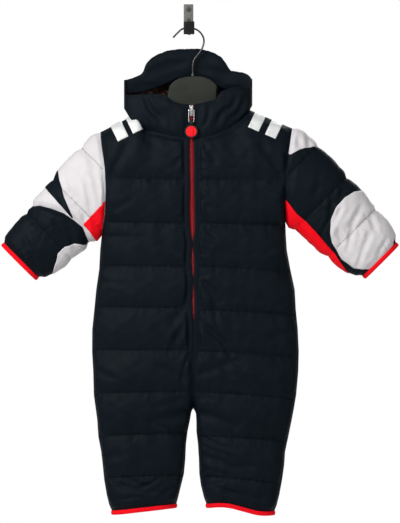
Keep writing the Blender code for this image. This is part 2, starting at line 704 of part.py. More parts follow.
def collar_panel(side, front):
    """The side of the hood that closes in front, on the neck edge of the front panel."""
    sign = SIGN[side]
    neck = NECK_EDGE[side][-1]
    columns = [j for j, t in enumerate(FRONT_COLUMNS) if t <= NECK_COLUMN]
    grid = np.zeros((len(COLLAR_ROWS), len(columns), 3))
    inward = np.zeros_like(grid)
    puff = np.zeros(grid.shape[:2])
    for i, up in enumerate(COLLAR_ROWS):
        wide = mix(neck[0], HOOD_WIDTH[side], smooth_step(up / 0.5))
        deep = mix(NECK_DEPTH["front"], COLLAR_DEPTH, up)
        for j in columns:
            t = FRONT_COLUMNS[j] / NECK_COLUMN
            low = front["seam"][0, j]
            z = mix(low[2] + GAP, table(MOUTH_EDGE[side], 1, t * HOOD_WIDTH[side]), up)
            x = max(t * wide, inner_x(side, "front", z))
            y = max(deep * math.sqrt(max(1.0 - (x / wide) ** 2, 0.0)), HALF_GAP)
            grid[i, j] = (sign * x, -y, z)
            if i == 0:
                grid[i, j] = low + (0.0, 0.0, GAP + NECK_POINT_GAP * t ** 4)
            inward[i, j] = unit((-sign * x / wide ** 2, y / deep ** 2, 0.0))
            edge = smooth_step((x - ZIP_BAND) / SEAM_FADE) * smooth_step((wide - x) / SEAM_FADE)
            puff[i, j] = HOOD_PUFF * channel_height(up) * edge
    inward[0] = front["inward"][0, columns]
    inward[:, 0] = (0.0, 1.0, 0.0)
    inward[:, -1] = (-sign, 0.0, 0.0)
    return {"outer": grid - inward * puff[..., None], "inner": grid + inward * WALL}


def hood_back(panels):
    """The back of the hood, from the neck edge of the back panels over its rim."""
    shared = [t / NECK_COLUMN for t in BACK_COLUMNS if t <= NECK_COLUMN]
    parts = sorted(set(shared + list(HOOD_EXTRA_COLUMNS)))
    parts = [-part for part in parts[:0:-1]] + parts
    grid = np.zeros((len(HOOD_ROWS), len(parts), 3))
    low_inward = np.zeros((len(parts), 3))
    puff = np.zeros(grid.shape[:2])
    for j, at in enumerate(parts):
        side = "right" if at < 0.0 else "left"
        panel = panels[side, "back"]
        low = [np.interp(abs(at), shared, panel["seam"][0, :len(shared), axis])
               for axis in range(3)]
        low_inward[j] = unit([np.interp(abs(at), shared, panel["inward"][0, :len(shared), axis])
                              for axis in range(3)])
        bulge = superellipse(at)
        rim_x = abs(at) * HOOD_WIDTH[side] * SIGN[side]
        rim_z = table(HOOD_RIM, 1, rim_x)
        for i, (up, deep, side_deep, drop, side_drop) in enumerate(HOOD_ROWS):
            z = mix(low[2] + GAP, rim_z, up) - mix(side_drop, drop, bulge)
            x = mix(low[0], rim_x, smooth_step(up / 0.5))
            y = mix(side_deep, deep, bulge)
            grid[i, j] = (x, y, z)
            row = channel_height(min(i / 6.0, 1.0)) + channel_height(max(i - 6.0, 0.0) / 4.0)
            puff[i, j] = 0.7 * HOOD_PUFF * row * smooth_step((1.0 - abs(at)) / 0.2)
        grid[0, j] = np.array(low) + (0.0, 0.0, GAP)
    inward = -grid_normals(grid, np.array([0.0, 1.0, 0.0]))
    inward[0] = low_inward
    seam = [i for i, row in enumerate(HOOD_ROWS) if row[0] < 0.9]
    inward[seam, 0] = (1.0, 0.0, 0.0)
    inward[seam, -1] = (-1.0, 0.0, 0.0)
    return {"outer": grid - inward * puff[..., None], "inner": grid + inward * WALL}


# Meshes


def material(name):
    found = bpy.data.materials.get(name)
    if found:
        return found
    colour, roughness, metallic = MATERIALS[name]
    found = bpy.data.materials.new(name)
    found.use_nodes = True
    shader = found.node_tree.nodes["Principled BSDF"]
    shader.inputs["Base Color"].default_value = (*colour, 1.0)
    shader.inputs["Roughness"].default_value = roughness
    shader.inputs["Metallic"].default_value = metallic
    found.diffuse_color = (*colour, 1.0)
    return found


def placed(points):
    """Points of the garment's frame in the part's frame, in metres."""
    shift = np.array([-HOOK_X, SEAM_PLANE_Y, 0.0])
    return (np.asarray(points, float).reshape(-1, 3) + shift) * MM


def add_mesh(collection, name, points, faces, slot):
    mesh = bpy.data.meshes.new(name)
    mesh.from_pydata([tuple(point) for point in points], [], faces)
    mesh.update()
    mesh.materials.append(material(slot))
    obj = bpy.data.objects.new(name, mesh)
    collection.objects.link(obj)
    return obj


def signed_volume(points, faces):
    total = 0.0
    for face in faces:
        for k in range(1, len(face) - 1):
            a, b, c = points[face[0]], points[face[k]], points[face[k + 1]]
            total += float(np.dot(a, np.cross(b, c)))
    return total


def add_wall(collection, name, outer, inner, slot, wrap=False):
    """Closes the space between two grids of points. With wrap, the columns go all the way round."""
    rows, columns = outer.shape[:2]
    points = placed(np.concatenate([outer.reshape(-1, 3), inner.reshape(-1, 3)]))
    half = rows * columns
    faces = []
    spans = columns if wrap else columns - 1
    for i in range(rows - 1):
        for j in range(spans):
            a = i * columns + j
            b = i * columns + (j + 1) % columns
            faces.append((a, b, b + columns, a + columns))
            faces.append((half + a, half + a + columns, half + b + columns, half + b))
    for j in range(spans):
        a, b = j, (j + 1) % columns
        faces.append((b, a, half + a, half + b))
        a, b = (rows - 1) * columns + a, (rows - 1) * columns + b
        faces.append((a, b, half + b, half + a))
    if not wrap:
        for i in range(rows - 1):
            a, b = i * columns, (i + 1) * columns
            faces.append((a, b, half + b, half + a))
            a, b = a + columns - 1, b + columns - 1
            faces.append((b, a, half + a, half + b))
    if signed_volume(points - points.mean(axis=0), faces) < 0.0:
        faces = [face[::-1] for face in faces]
    return add_mesh(collection, name, points, faces, slot)


def zip_tape(collection, side, collar, front):
    """A strip behind the front edge, from the collar's top to the end of the zip."""
    sign = SIGN[side]
    rows = [collar["inner"][i, :2] for i in range(len(COLLAR_ROWS) - 1, -1, -1)]
    for row in front["inner"][::2, :2]:
        if VALLEY_TOP_Z < row[0, 2] < rows[-1][0, 2] - 4.0:
            rows.append(row)
    outer = []
    for edge, beside in rows:
        z = edge[2]
        middle = table(ZIP_LINE, 1, z) + sign * HALF_GAP
        outer.append([(middle, edge[1] + GAP, z), edge + (0.0, GAP, 0.0),
                      beside + (0.0, GAP, 0.0)])
    outer = np.array(outer)
    inner = outer + np.array([0.0, 1.0, 0.0])
    add_wall(collection, f"zip_tape_{side}", outer, inner, "zip_red")


def hem_binding(collection, side, panels):
    """The turned strip on a leg hem, all the way round."""
    front, back = panels[side, "front"], panels[side, "back"]
    ring = list(front["outer"][-1]) + list(back["outer"][-1][::-1][1:-1])
    inward = list(front["inward"][-1]) + list(back["inward"][-1][::-1][1:-1])
    ring, inward = np.array(ring), np.array(inward)
    outer, inner = [], []
    for bulge, drop in BINDING_ROWS:
        down = np.array([0.0, 0.0, -drop])
        outer.append(ring - inward * bulge + down)
        inner.append(ring + inward * BINDING_WALL + down)
    add_wall(collection, f"binding_hem_{side}", np.array(outer), np.array(inner), "red", True)


def cuff_binding(collection, side, tube):
    """The turned strip on a cuff, all the way round."""
    ring, inward = tube["outer"][-1], tube["inward"][-1]
    along = np.array([SIGN[side] * ROOT_HALF, 0.0, -ROOT_HALF])
    inward = unit(inward - along * (inward @ along)[:, None])
    outer, inner = [], []
    for bulge, out in BINDING_ROWS:
        outer.append(ring - inward * bulge + along * out)
        inner.append(ring + inward * BINDING_WALL + along * out)
    add_wall(collection, f"binding_cuff_{side}", np.array(outer), np.array(inner), "red", True)


def surface_tree(panel):
    """A tree of a panel's outer faces, for finding points on them."""
    outer = panel["outer"]
    rows, columns = outer.shape[:2]
    points = [Vector(point) for point in outer.reshape(-1, 3)]
    faces = []
    for i in range(rows - 1):
        for j in range(columns - 1):
            a = i * columns + j
            faces.append((a, a + 1, a + columns + 1, a + columns))
    return BVHTree.FromPolygons(points, faces)


def shoulder_stripe(collection, stripe, panels):
    """A tape over the shoulder ridge, laid on the front and the back."""
    name, side, outer_x, ridge_x = stripe
    sign = SIGN[side]
    neck = NECK_EDGE[side][-1]
    tip_z, tip_x = SIDE_EDGE[side][0]
    trees = {face: surface_tree(panels[side, face]) for face in FACING}
    steps = [("front", drop) for drop in STRIPE_DROPS] + [(None, 0.0)]
    steps += [("back", drop) for drop in STRIPE_DROPS[::-1]]
    outer = []
    for face, drop in steps:
        row = []
        for across in (0.0, 0.33, 0.67, 1.0):
            ridge = mix(outer_x, ridge_x, across)
            z = mix(neck[1], tip_z, (ridge - neck[0]) / (tip_x - neck[0])) - drop
            x = sign * (ridge - STRIPE_SLANT * drop)
            point = Vector((x, 0.0, z))
            if face:
                aim = Vector((0.0, -FACING[face], 0.0))
                point = trees[face].ray_cast(point - 200.0 * aim, aim)[0]
            row.append(tuple(point))
        outer.append(row)
    outer = np.array(outer)
    normals = grid_normals(outer, outer - outer.mean(axis=(0, 1)) + (0.0, 0.0, 40.0))
    base = outer + normals * STRIPE_LIFT
    add_wall(collection, name, base + normals * STRIPE_WALL, base, "silver")


def add_box(collection, name, size, centre, slot, bevel):
    bpy.ops.mesh.primitive_cube_add(size=1.0)
    obj = bpy.context.object
    obj.name = name
    obj.data.name = name
    half = np.array(size) * 0.5 * MM
    middle = (np.array(centre) + (-HOOK_X, 0.0, 0.0)) * MM
    for vertex in obj.data.vertices:
        vertex.co = [middle[k] + math.copysign(half[k], vertex.co[k]) for k in range(3)]
    if bevel:
        rounding = obj.modifiers.new("edges", "BEVEL")
        rounding.width = bevel * MM
        rounding.segments = 2
    obj.data.materials.append(material(slot))
    move_to(collection, obj)
    return obj


def add_rod(collection, name, radius, start, end, sides, slot):
    """A round rod between two points of the part's frame, in millimetres."""
    start, end = Vector(start), Vector(end)
    bpy.ops.mesh.primitive_cylinder_add(vertices=sides, radius=radius * MM,
                                        depth=(end - start).length * MM)
    obj = bpy.context.object
    obj.name = name
    obj.data.name = name
    turn = (end - start).to_track_quat("Z", "Y").to_matrix().to_4x4()
    obj.data.transform(turn)
    for vertex in obj.data.vertices:
        vertex.co += (start + end) * 0.5 * MM + Vector((-HOOK_X * MM, 0.0, 0.0))
    obj.data.materials.append(material(slot))
    move_to(collection, obj)
    return obj


def move_to(collection, obj):
    for other in list(obj.users_collection):
        other.objects.unlink(obj)
    collection.objects.link(obj)


def boolean(obj, other, operation):
    """Adds a Boolean with a helper that isn't drawn."""
    other.hide_render = True
    other.display_type = "WIRE"
    modifier = obj.modifiers.new(f"{operation.lower()}_{other.name}", "BOOLEAN")
    modifier.operation = operation
    modifier.solver = "EXACT"
    modifier.object = other


def add_wire(collection, name, points, radius, slot, closed=False):
    """A round wire through points of the part's frame, in millimetres."""
    curve = bpy.data.curves.new(name, "CURVE")
    curve.dimensions = "3D"
    spline = curve.splines.new("POLY")
    spline.points.add(len(points) - 1)
    for target, point in zip(spline.points, points):
        x, y, z = point
        target.co = ((x - HOOK_X) * MM, y * MM, z * MM, 1.0)
    spline.use_cyclic_u = closed
    curve.bevel_depth = radius * MM
    curve.bevel_resolution = 2
    curve.use_fill_caps = True
    curve.materials.append(material(slot))
    obj = bpy.data.objects.new(name, curve)
    collection.objects.link(obj)
    return obj


def smooth_path(points, steps):
    """Points along a Catmull-Rom curve through these points."""
    points = [np.array(point, float) for point in points]
    ends = [2 * points[0] - points[1]] + points + [2 * points[-1] - points[-2]]
    found = []
    for a, b, c, d in zip(ends, ends[1:], ends[2:], ends[3:]):
        for k in range(steps):
            t = k / steps
            found.append(0.5 * (2 * b + (c - a) * t + (2 * a - 5 * b + 4 * c - d) * t ** 2
                                + (3 * b - a - 3 * c + d) * t ** 3))
    found.append(points[-1])
    return found


def hanger(collection):
    """A flat hanger with rounded edges and a raised neck."""
    thick, corner = HANGER_HALF_THICK, HANGER_CORNER
    rows = []
    for x, top, bottom in HANGER:
        ring = []
        for y, z in ((-thick, top - corner), (-thick + corner, top), (thick - corner, top),
                     (thick, top - corner), (thick, bottom + corner), (thick - corner, bottom),
                     (-thick + corner, bottom), (-thick, bottom + corner)):
            ring.append((x, y, z))
        rows.append(ring)
    points = placed(rows)
    count = 8
    faces = [tuple(range(count))[::-1]]
    for i in range(len(rows) - 1):
        for j in range(count):
            a = i * count + j
            b = i * count + (j + 1) % count
            faces.append((a, b, b + count, a + count))
    faces.append(tuple(range((len(rows) - 1) * count, len(rows) * count)))
    if signed_volume(points - points.mean(axis=0), faces) < 0.0:
        faces = [face[::-1] for face in faces]
    add_mesh(collection, "hanger", points, faces, "hanger_plastic")
    path = [(x, SEAM_PLANE_Y, z) for x, z in smooth_path(WIRE_PATH, WIRE_STEPS)]
    add_wire(collection, "hanger_hook", path, WIRE_RADIUS, "wire")


def wall_hook(collection, helpers):
    """A plate on the wall, with an arm that ends in an upright tip."""
    plate = add_box(collection, "wall_hook", PLATE_SIZE, PLATE_CENTRE, "hook_paint", 1.0)
    arm = add_rod(helpers, "hook_arm", ARM_RADIUS, (TIP_CENTRE[0], -1.5, ARM_Z),
                  (TIP_CENTRE[0], TIP_CENTRE[1], ARM_Z), 16, "hook_paint")
    tip = add_box(helpers, "hook_tip", TIP_SIZE, TIP_CENTRE, "hook_paint", 1.0)
    boolean(plate, arm, "UNION")
    boolean(plate, tip, "UNION")


def zip_parts(collection, helpers):
    """The slider with its bridge, and the pull that swings on it."""
    y = SEAM_PLANE_Y
    wide, deep, tall = SLIDER_SIZE
    slider = add_box(collection, "zip_slider", SLIDER_SIZE,
                     (SLIDER_X, y + SLIDER_FRONT + deep / 2, SLIDER_Z), "chrome", 0.8)
    top, low = SLIDER_Z + 6.5, SLIDER_Z - 5.5
    bridge = [(SLIDER_X, y + SLIDER_FRONT + 1.0, top), (SLIDER_X, y + BRIDGE_Y + 1.0, top),
              (SLIDER_X, y + BRIDGE_Y, top - 1.2), (SLIDER_X, y + BRIDGE_Y, low + 1.2),
              (SLIDER_X, y + BRIDGE_Y + 1.0, low), (SLIDER_X, y + SLIDER_FRONT + 1.0, low)]
    helper = add_wire(helpers, "bridge_path", bridge, BRIDGE_RADIUS, "chrome")
    boolean(slider, mesh_copy(helpers, helper, "bridge"), "UNION")
    half = LINK_HALF_WIDTH
    loop = []
    for corner_x, corner_z in ((-1, -1), (1, -1), (1, 1), (-1, 1)):
        z = LINK_TOP_Z if corner_z > 0 else LINK_BOTTOM_Z
        across = [(corner_x * half, z - corner_z * 1.2),
                  (corner_x * (half - 0.35), z - corner_z * 0.35),
                  (corner_x * (half - 1.2), z)]
        loop += across if corner_x * corner_z > 0 else across[::-1]
    path = [(SLIDER_X + x, y + LINK_Y, z) for x, z in loop]
    add_wire(collection, "zip_link", path, LINK_RADIUS, "chrome", closed=True)
    pull = add_rod(collection, "zip_pull", PULL_RADIUS, (SLIDER_X, y + PULL_FRONT_Y, PULL_Z),
                   (SLIDER_X, y + PULL_BACK_Y, PULL_Z), 24, "rubber")
    lug = add_box(helpers, "pull_lug", (5.2, 3.9, 12.0),
                  (SLIDER_X, y + LINK_Y - 0.55, LINK_BOTTOM_Z - 2.6), "rubber", 0.5)
    boolean(pull, lug, "UNION")
    eye = add_rod(helpers, "pull_eye", LINK_RADIUS + GAP + 0.1,
                  (SLIDER_X - 8.0, y + LINK_Y, LINK_BOTTOM_Z),
                  (SLIDER_X + 8.0, y + LINK_Y, LINK_BOTTOM_Z), 16, "rubber")
    boolean(pull, eye, "DIFFERENCE")
    add_box(collection, "zip_pull_grip", (7.0, 1.4, 15.0),
            (SLIDER_X, y + PULL_FRONT_Y - GAP - 0.7, PULL_Z), "red", 0.5)


def mesh_copy(collection, curve_object, name):
    """A mesh of a curve, for a Boolean."""
    bpy.context.view_layer.update()
    graph = bpy.context.evaluated_depsgraph_get()
    mesh = bpy.data.meshes.new_from_object(curve_object.evaluated_get(graph))
    bpy.data.objects.remove(curve_object)
    obj = bpy.data.objects.new(name, mesh)
    collection.objects.link(obj)
    merge = obj.modifiers.new("merge", "WELD")
    merge.merge_threshold = 0.00001
    return obj


def main():
    for obj in list(bpy.data.objects):
        bpy.data.objects.remove(obj)
    suit = bpy.data.collections.new("baby_snowsuit")
    helpers = bpy.data.collections.new("helpers")
    bpy.context.scene.collection.children.link(suit)
    bpy.context.scene.collection.children.link(helpers)

    panels = {(side, face): body_panel(side, face) for side in SIGN for face in FACING}
    for (side, face), panel in panels.items():
        add_wall(suit, f"{face}_{side}", panel["outer"], panel["inner"], "navy")
    collars = {side: collar_panel(side, panels[side, "front"]) for side in SIGN}
    for side, collar in collars.items():
        add_wall(suit, f"hood_{side}", collar["outer"], collar["inner"], "navy")
        zip_tape(suit, side, collar, panels[side, "front"])
        hem_binding(suit, side, panels)
    back = hood_back(panels)
    add_wall(suit, "hood_back", back["outer"], back["inner"], "navy")

    tubes = {
        ("right", "upper"): sleeve_tube("right", "upper", panels),
        ("right", "lower"): sleeve_tube("right", "lower", panels),
        ("left", "whole"): sleeve_tube("left", "whole", panels),
    }
    names = {"upper": "sleeve_right_upper", "lower": "sleeve_right_lower", "whole": "sleeve_left"}
    for (side, part), tube in tubes.items():
        slot = "grey" if part == "upper" else "navy"
        add_wall(suit, names[part], tube["outer"], tube["inner"], slot, wrap=True)
        if part != "upper":
            cuff_binding(suit, side, tube)
    for name, side, slot, part, lift, rows in SLEEVE_PANELS:
        outer, inner = sleeve_panel(rows, lift, tubes[side, part])
        add_wall(suit, name, outer, inner, slot)
    for stripe in STRIPES:
        shoulder_stripe(suit, stripe, panels)

    hanger(suit)
    wall_hook(suit, helpers)
    zip_parts(suit, helpers)


main()
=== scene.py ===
"""Looks of a baby snowsuit on a hanger and wall hook.

Tables are in millimetres in the garment's frame: x outwards from the middle of each side, z up, and
depths from the plane of the side seams. Meshes are made in metres in the part's frame.
"""

import bisect
import functools
import math

import bmesh
import bpy
import numpy as np
from bpy.props import FloatProperty, FloatVectorProperty, IntProperty, PointerProperty
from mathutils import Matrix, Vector
from mathutils.bvhtree import BVHTree


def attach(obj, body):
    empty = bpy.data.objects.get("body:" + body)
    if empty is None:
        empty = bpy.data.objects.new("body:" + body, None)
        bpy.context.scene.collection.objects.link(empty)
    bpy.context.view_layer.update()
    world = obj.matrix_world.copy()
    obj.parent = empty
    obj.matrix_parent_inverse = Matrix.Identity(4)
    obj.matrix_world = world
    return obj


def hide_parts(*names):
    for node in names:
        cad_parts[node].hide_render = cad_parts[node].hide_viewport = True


bl_info = {
    "name": "Baby snowsuit",
    "version": (1, 0, 0),
    "blender": (4, 5, 0),
    "location": "View3D > Sidebar > Snowsuit",
    "description": "Dresses a baby snowsuit that hangs from a wall hook",
    "category": "Object",
}

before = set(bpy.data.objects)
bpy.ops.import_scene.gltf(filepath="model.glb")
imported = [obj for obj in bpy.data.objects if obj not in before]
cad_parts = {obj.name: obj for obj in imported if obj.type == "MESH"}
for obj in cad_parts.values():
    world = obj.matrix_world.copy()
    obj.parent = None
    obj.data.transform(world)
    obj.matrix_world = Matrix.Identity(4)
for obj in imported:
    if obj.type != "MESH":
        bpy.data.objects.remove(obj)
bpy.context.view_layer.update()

MM = 0.001
# The garment's frame in the part's frame: depth of the side seams, and x of the wall hook.
SEAM_PLANE_Y = -52.0
HOOK_X = -8.0
# Hard parts and tapes lie this far off what is behind them.
GAP = 0.3
# The pieces are pressed together where they are sewn, and overlap by this much.
SEAM_LAP = 0.2
HALF_LAP = SEAM_LAP / 2

# Thickness of the cloth with its padding, and how far the channels stand out in their middles.
WALL = 2.5
BODY_PUFF = 6.5
BACK_PUFF = 5.5
SLEEVE_PUFF = 5.0
HOOD_PUFF = 3.5
# How square the body's section is: 2 is an ellipse.
SECTION_POWER = 2.4
# Width of the flat band beside the zip, and over what widths the padding fades at seams and at it.
ZIP_BAND = 9.0
SEAM_FADE = 11.0
BAND_FADE = 5.0

# Half depths of the neck and the armholes, and heights of the crotch and of the dip above it.
NECK_DEPTH = {"front": 34, "back": 27}
ARMHOLE_DEPTH = 33.0
CROTCH_Z = -694.8
VALLEY_TOP_Z = -595.0
# Part of a panel's columns that end at the neck. The others end at the shoulder.
NECK_COLUMN = 0.7
BINDING_WALL = 3.0

SIGN = {"right": -1, "left": 1}
FACING = {"front": -1, "back": 1}

# Quilting lines from the chest to the ankle: height at the middle, height at the side seam.
QUILT_LINES = {
    "right": (
        (-294, -292), (-370, -367.5), (-445.5, -444.5), (-518, -516), (-591.5, -591.5),
        (-664, -667), (-737, -742), (-810, -815.5),
    ),
    "left": (
        (-294, -297.5), (-370, -374.5), (-446, -455), (-521.5, -530), (-593, -605.5), (-665, -677),
        (-742, -751), (-812, -826),
    ),
}

# Side edge of the body, from the shoulder tip down the armhole and side seam: height, x.
SIDE_EDGE = {
    "right": (
        (-209.7, 162), (-257, 155), (-311.5, 152.2), (-355, 154), (-390.2, 160), (-416.5, 162.8),
        (-450, 164.5), (-486.5, 169.8), (-520, 173), (-556.5, 176.8), (-595, 177), (-630, 175),
        (-670, 174), (-695, 170.6), (-714, 168), (-744, 166), (-770, 161), (-793, 158.4),
        (-819, 155.8), (-845, 151.4), (-863, 147), (-881, 138.5),
    ),
    "left": (
        (-202.7, 172.9), (-248.5, 166), (-294, 162), (-332.5, 161), (-367.5, 162), (-390, 162.8),
        (-416.5, 164.5), (-450, 170.6), (-486.5, 178.5), (-520, 180.2), (-556.5, 183.8),
        (-595, 185.5), (-630, 184.6), (-670, 181), (-695, 176.8), (-714, 173.2), (-744, 167),
        (-770, 161.5), (-793, 160), (-819, 156.3), (-845, 151.4), (-863, 147), (-881, 140),
    ),
}
UNDERARM_Z = {"right": -390.2, "left": -367.5}

# Inseam of each leg: height, x.
INSEAM = {
    "right": (
        (-694.8, -0.3), (-698, 2.4), (-703.5, 3.5), (-714, 5.2), (-735, 9.6), (-756, 12.2),
        (-784, 13.5), (-808.5, 15.8), (-829.5, 21), (-850.5, 26.2), (-868, 31),
    ),
    "left": (
        (-694.8, 0.7), (-698, 3.4), (-703.5, 5), (-714, 5.8), (-735, 6), (-756, 8.6), (-784, 10.3),
        (-808.5, 11), (-829.5, 14), (-850.5, 19.2), (-868, 26),
    ),
}

# Line of the zip and of the seam below it: height, x, half the opening between the front edges.
ZIP_LINE = (
    (-150, -3, 3.8), (-222, -2.5, 3.7), (-262, -2.6, 4.2), (-300, -1.8, 3.4), (-345, -1.9, 4.4),
    (-382, -0.8, 3.8), (-394, -1, 2.2), (-401, -1.4, 0.5), (-411, -1.2, 0.5), (-418, -0.6, 1.9),
    (-438, -0.3, 2.6), (-456, 0.1, 2), (-464, -0.2, 0.4), (-477, 0.2, 0.4), (-485, 0.7, 1.4),
    (-505, 0.4, 2.4), (-526, 1, 1.9), (-538, 1.2, 0.8), (-545, 1.3, -HALF_LAP),
    (-595, 1.3, -HALF_LAP), (-694.8, 0.5, -HALF_LAP),
)

# Half depth of the padded body: height, front, back.
BODY_DEPTH = (
    (-222, 36, 31), (-294, 40, 36), (-370, 41, 36), (-445, 42, 36), (-520, 43, 38), (-595, 43, 40),
    (-665, 41, 40), (-737, 37, 36), (-810, 35, 34), (-880, 30, 30),
)

# Neck edge of each side: x, front height, back height. The last row is the neck point.
NECK_EDGE = {
    "right": ((0, -222.2, -190), (37.8, -217, -189), (85.8, -205.6, -182), (98, -177, -177)),
    "left": (
        (0, -222.2, -190), (31.5, -217, -189), (60.5, -205.6, -186), (82.2, -190, -180),
        (100, -171, -171),
    ),
}

# Leg hem: part of the way from inseam to side seam, height.
HEM = {
    "right": ((0, -861), (0.6, -868.5), (1, -874)),
    "left": ((0, -862.5), (0.25, -857.5), (0.85, -877), (1, -873)),
}

# Soft folds in the padding of each side: x and height of both ends, half width, depth.
FOLDS = {
    "left": (
        (8, -460, 46, -505, 8, 4.5), (8, -540, 52, -578, 7, 4.5), (12, -632, 70, -612, 8, 4),
        (14, -700, 76, -722, 9, 4.5), (24, -776, 96, -802, 8, 4.5), (60, -838, 118, -850, 7, 4),
        (120, -236, 156, -286, 8, 4),
    ),
    "right": (
        (8, -500, 34, -540, 7, 4), (14, -640, 60, -620, 8, 4), (14, -702, 72, -716, 9, 4.5),
        (66, -838, 122, -828, 7, 4.5), (118, -240, 150, -300, 8, 4),
    ),
}

# Sleeves lie along an axis that slopes down and out at 45 degrees. u runs along it and v across.
ROOT_HALF = math.sqrt(0.5)

# Upper outline of each sleeve: u, v.
SLEEVE_TOP = {
    "right": (
        (263, 33.7), (292, 32), (329, 32), (363, 33), (400, 38), (439, 41), (483, 47), (517, 50),
        (528, 56),
    ),
    "left": (
        (265.6, 21.1), (296, 16), (328, 14), (387, 14), (416, 15), (442, 19), (497, 22), (521, 28),
        (545, 37),
    ),
}
# Lower outline of each sleeve, from the underarm: u, v.
SLEEVE_BOTTOM = {
    "right": ((389, 162.8), (407, 157), (426, 153), (455, 153), (473, 151), (495, 144), (528, 134)),
    "left": (
        (374.4, 145.3), (398, 139), (424, 134), (450, 134), (481, 132), (518, 123), (545, 113),
    ),
}
SLEEVE_DEPTH = ((260, ARMHOLE_DEPTH), (390, ARMHOLE_DEPTH), (455, 31), (545, 25))
SLEEVE_LINES = {"right": (231, 306, 381, 455, 529), "left": (245, 320, 395, 469.5, 546)}
# The seam where the right sleeve turns to the forearm's cloth: part of the way down, u.
FOREARM_SEAM = ((0, 440), (0.09, 429), (0.26, 418), (0.43, 409), (0.6, 405), (0.77, 403), (1, 414))

# Sleeves: name, side, part of the sleeve, cloth.
SLEEVES = (
    ("sleeve_right_upper", "right", "upper", "grey"),
    ("sleeve_right_lower", "right", "lower", "navy"),
    ("sleeve_left", "left", "whole", "navy"),
)
# Panels sewn on the sleeves: name, side, cloth, part of the sleeve, lift off it, and rows of the
# part of the way down the sleeve, first u and last u.
ARMHOLE = 0.0
SLEEVE_PANELS = (
    (
        "sleeve_right_wedge", "right", "navy", "upper", 0.7,
        ((0, 363, 400), (0.08, 373, 401), (0.27, 388.5, 402.5), (0.57, 403, 405)),
    ),
    (
        "sleeve_right_gusset", "right", "red", "upper", 2.2,
        ((0.66, ARMHOLE, 343), (0.73, ARMHOLE, 399), (0.85, ARMHOLE, 399), (1, ARMHOLE, 402)),
    ),
    (
        "sleeve_right_inner", "right", "grey", "lower", 0.7,
        ((0.79, 452, 465), (0.87, 432, 476), (1, 417, 497)),
    ),
    (
        "sleeve_left_cap", "left", "grey", "whole", 1.3,
        ((0, ARMHOLE, 322), (0.08, ARMHOLE, 311), (0.16, ARMHOLE, 303), (0.28, ARMHOLE, 297)),
    ),
    (
        "sleeve_left_forearm", "left", "grey", "whole", 0.6,
        (
            (0, 429, 528), (0.09, 421, 536), (0.24, 417, 537), (0.42, 418, 537), (0.59, 427, 537),
            (0.72, 442, 537), (0.81, 457, 536), (0.92, 496, 512),
        ),
    ),
    (
        "sleeve_left_gusset", "left", "red", "whole", 2.9,
        ((0.75, ARMHOLE, 346), (0.82, ARMHOLE, 385), (0.89, ARMHOLE, 470), (1, ARMHOLE, 516)),
    ),
)
# The panel of that table that a quilting line crosses.
FOREARM_PANEL = 4
PANEL_WALL = 0.9
# Least distance of a panel from the sleeve's armhole and from its cuff.
PANEL_MARGINS = (1.2, 0.4)

# Front edge of the hood at the collar: x, height.
MOUTH_EDGE = {
    "right": ((0, -162.8), (22, -160.8), (35, -156.5), (46, -146.5), (60, -143.5), (121, -145)),
    "left": ((0, -162.8), (38.5, -154), (50.8, -138), (73.5, -130.5), (104, -133)),
}
HOOD_WIDTH = {"right": 121, "left": 104}
COLLAR_DEPTH = 31.0
# Height over which the hood widens from the neck.
HOOD_FLARE = 9.0
# Rim of the hood's back: x to the wearer's left, height.
HOOD_RIM = (
    (-121, -118.5), (-110, -116), (-100, -112.5), (-90, -108.5), (-86.5, -102.5), (-82, -91.5),
    (-73, -80.5), (-63, -74), (-45, -67.5), (-25, -64.5), (0, -63.3), (16, -63.5), (31, -67),
    (41, -72.5), (51, -80), (58.5, -90), (65, -101.5), (73, -103), (86, -105), (96, -108),
    (101, -112.5), (104, -119),
)
# Rows of the hood's back: part of the height, depth at the middle and side, and part of the way
# from the rim down to the lip in front of it.
HOOD_ROWS = (
    (0, 27, -0.1, 0), (0.12, 30, -0.1, 0), (0.35, 34, -0.1, 0), (0.6, 35, -0.1, 0),
    (0.82, 33, -0.1, 0), (0.95, 27, -0.1, 0), (1, 18.5, -0.2, 0), (1, 12.5, -0.5, 0.03),
    (1, 10, -0.8, 0.2), (1, 9, -1, 0.6), (1, 10, -1.2, 1),
)
# The row of that table at the rim, and how much narrower the hood is at its lip.
HOOD_RIM_ROW = 6.0
LIP_NARROWING = 0.02
# Lip of the hood's back, above the collar: x to the wearer's left, height.
HOOD_LIP = (
    (-121, -141.5), (-100, -140.5), (-83, -137.5), (-55, -128), (-30, -116.5), (0, -112),
    (24, -118), (36, -127), (56, -134), (84, -135), (104, -137),
)

# Silver stripes over each shoulder: x of both edges at the ridge.
STRIPES = (
    ("stripe_right_outer", "right", 144, 125.5), ("stripe_right_inner", "right", 117.5, 101),
    ("stripe_left_inner", "left", 127.5, 109), ("stripe_left_outer", "left", 157, 138.5),
)
# How far a stripe leans to the middle, how far down it reaches, and how finely it is laid.
STRIPE_SLANT = 0.48
STRIPE_DROP = 27.0
STRIPE_ROWS = 15
STRIPE_COLUMNS = 13

# Thickness of the thread by its colour and on the forearm's panel, and gap between two stitches.
# The grey thread, here and on the forearm's panel, is thick and nearly black: painted shade of the
# grooves along the grey quilting lines.
THREAD_RADIUS = {"navy": 0.32, "grey": 0.65}
FOREARM_THREAD_RADIUS = 0.55
STITCH_GAP = 0.9
# Rows of stitches beside the zip: distance from its edge, and where they start.
ZIP_STITCHES = (2.4, ZIP_BAND - 0.8)
ZIP_STITCHES_TOP_Z = -228.0
# Rows of the hood's back that are stitched.
HOOD_STITCH_ROWS = (0.35, 7.5, 9.6)

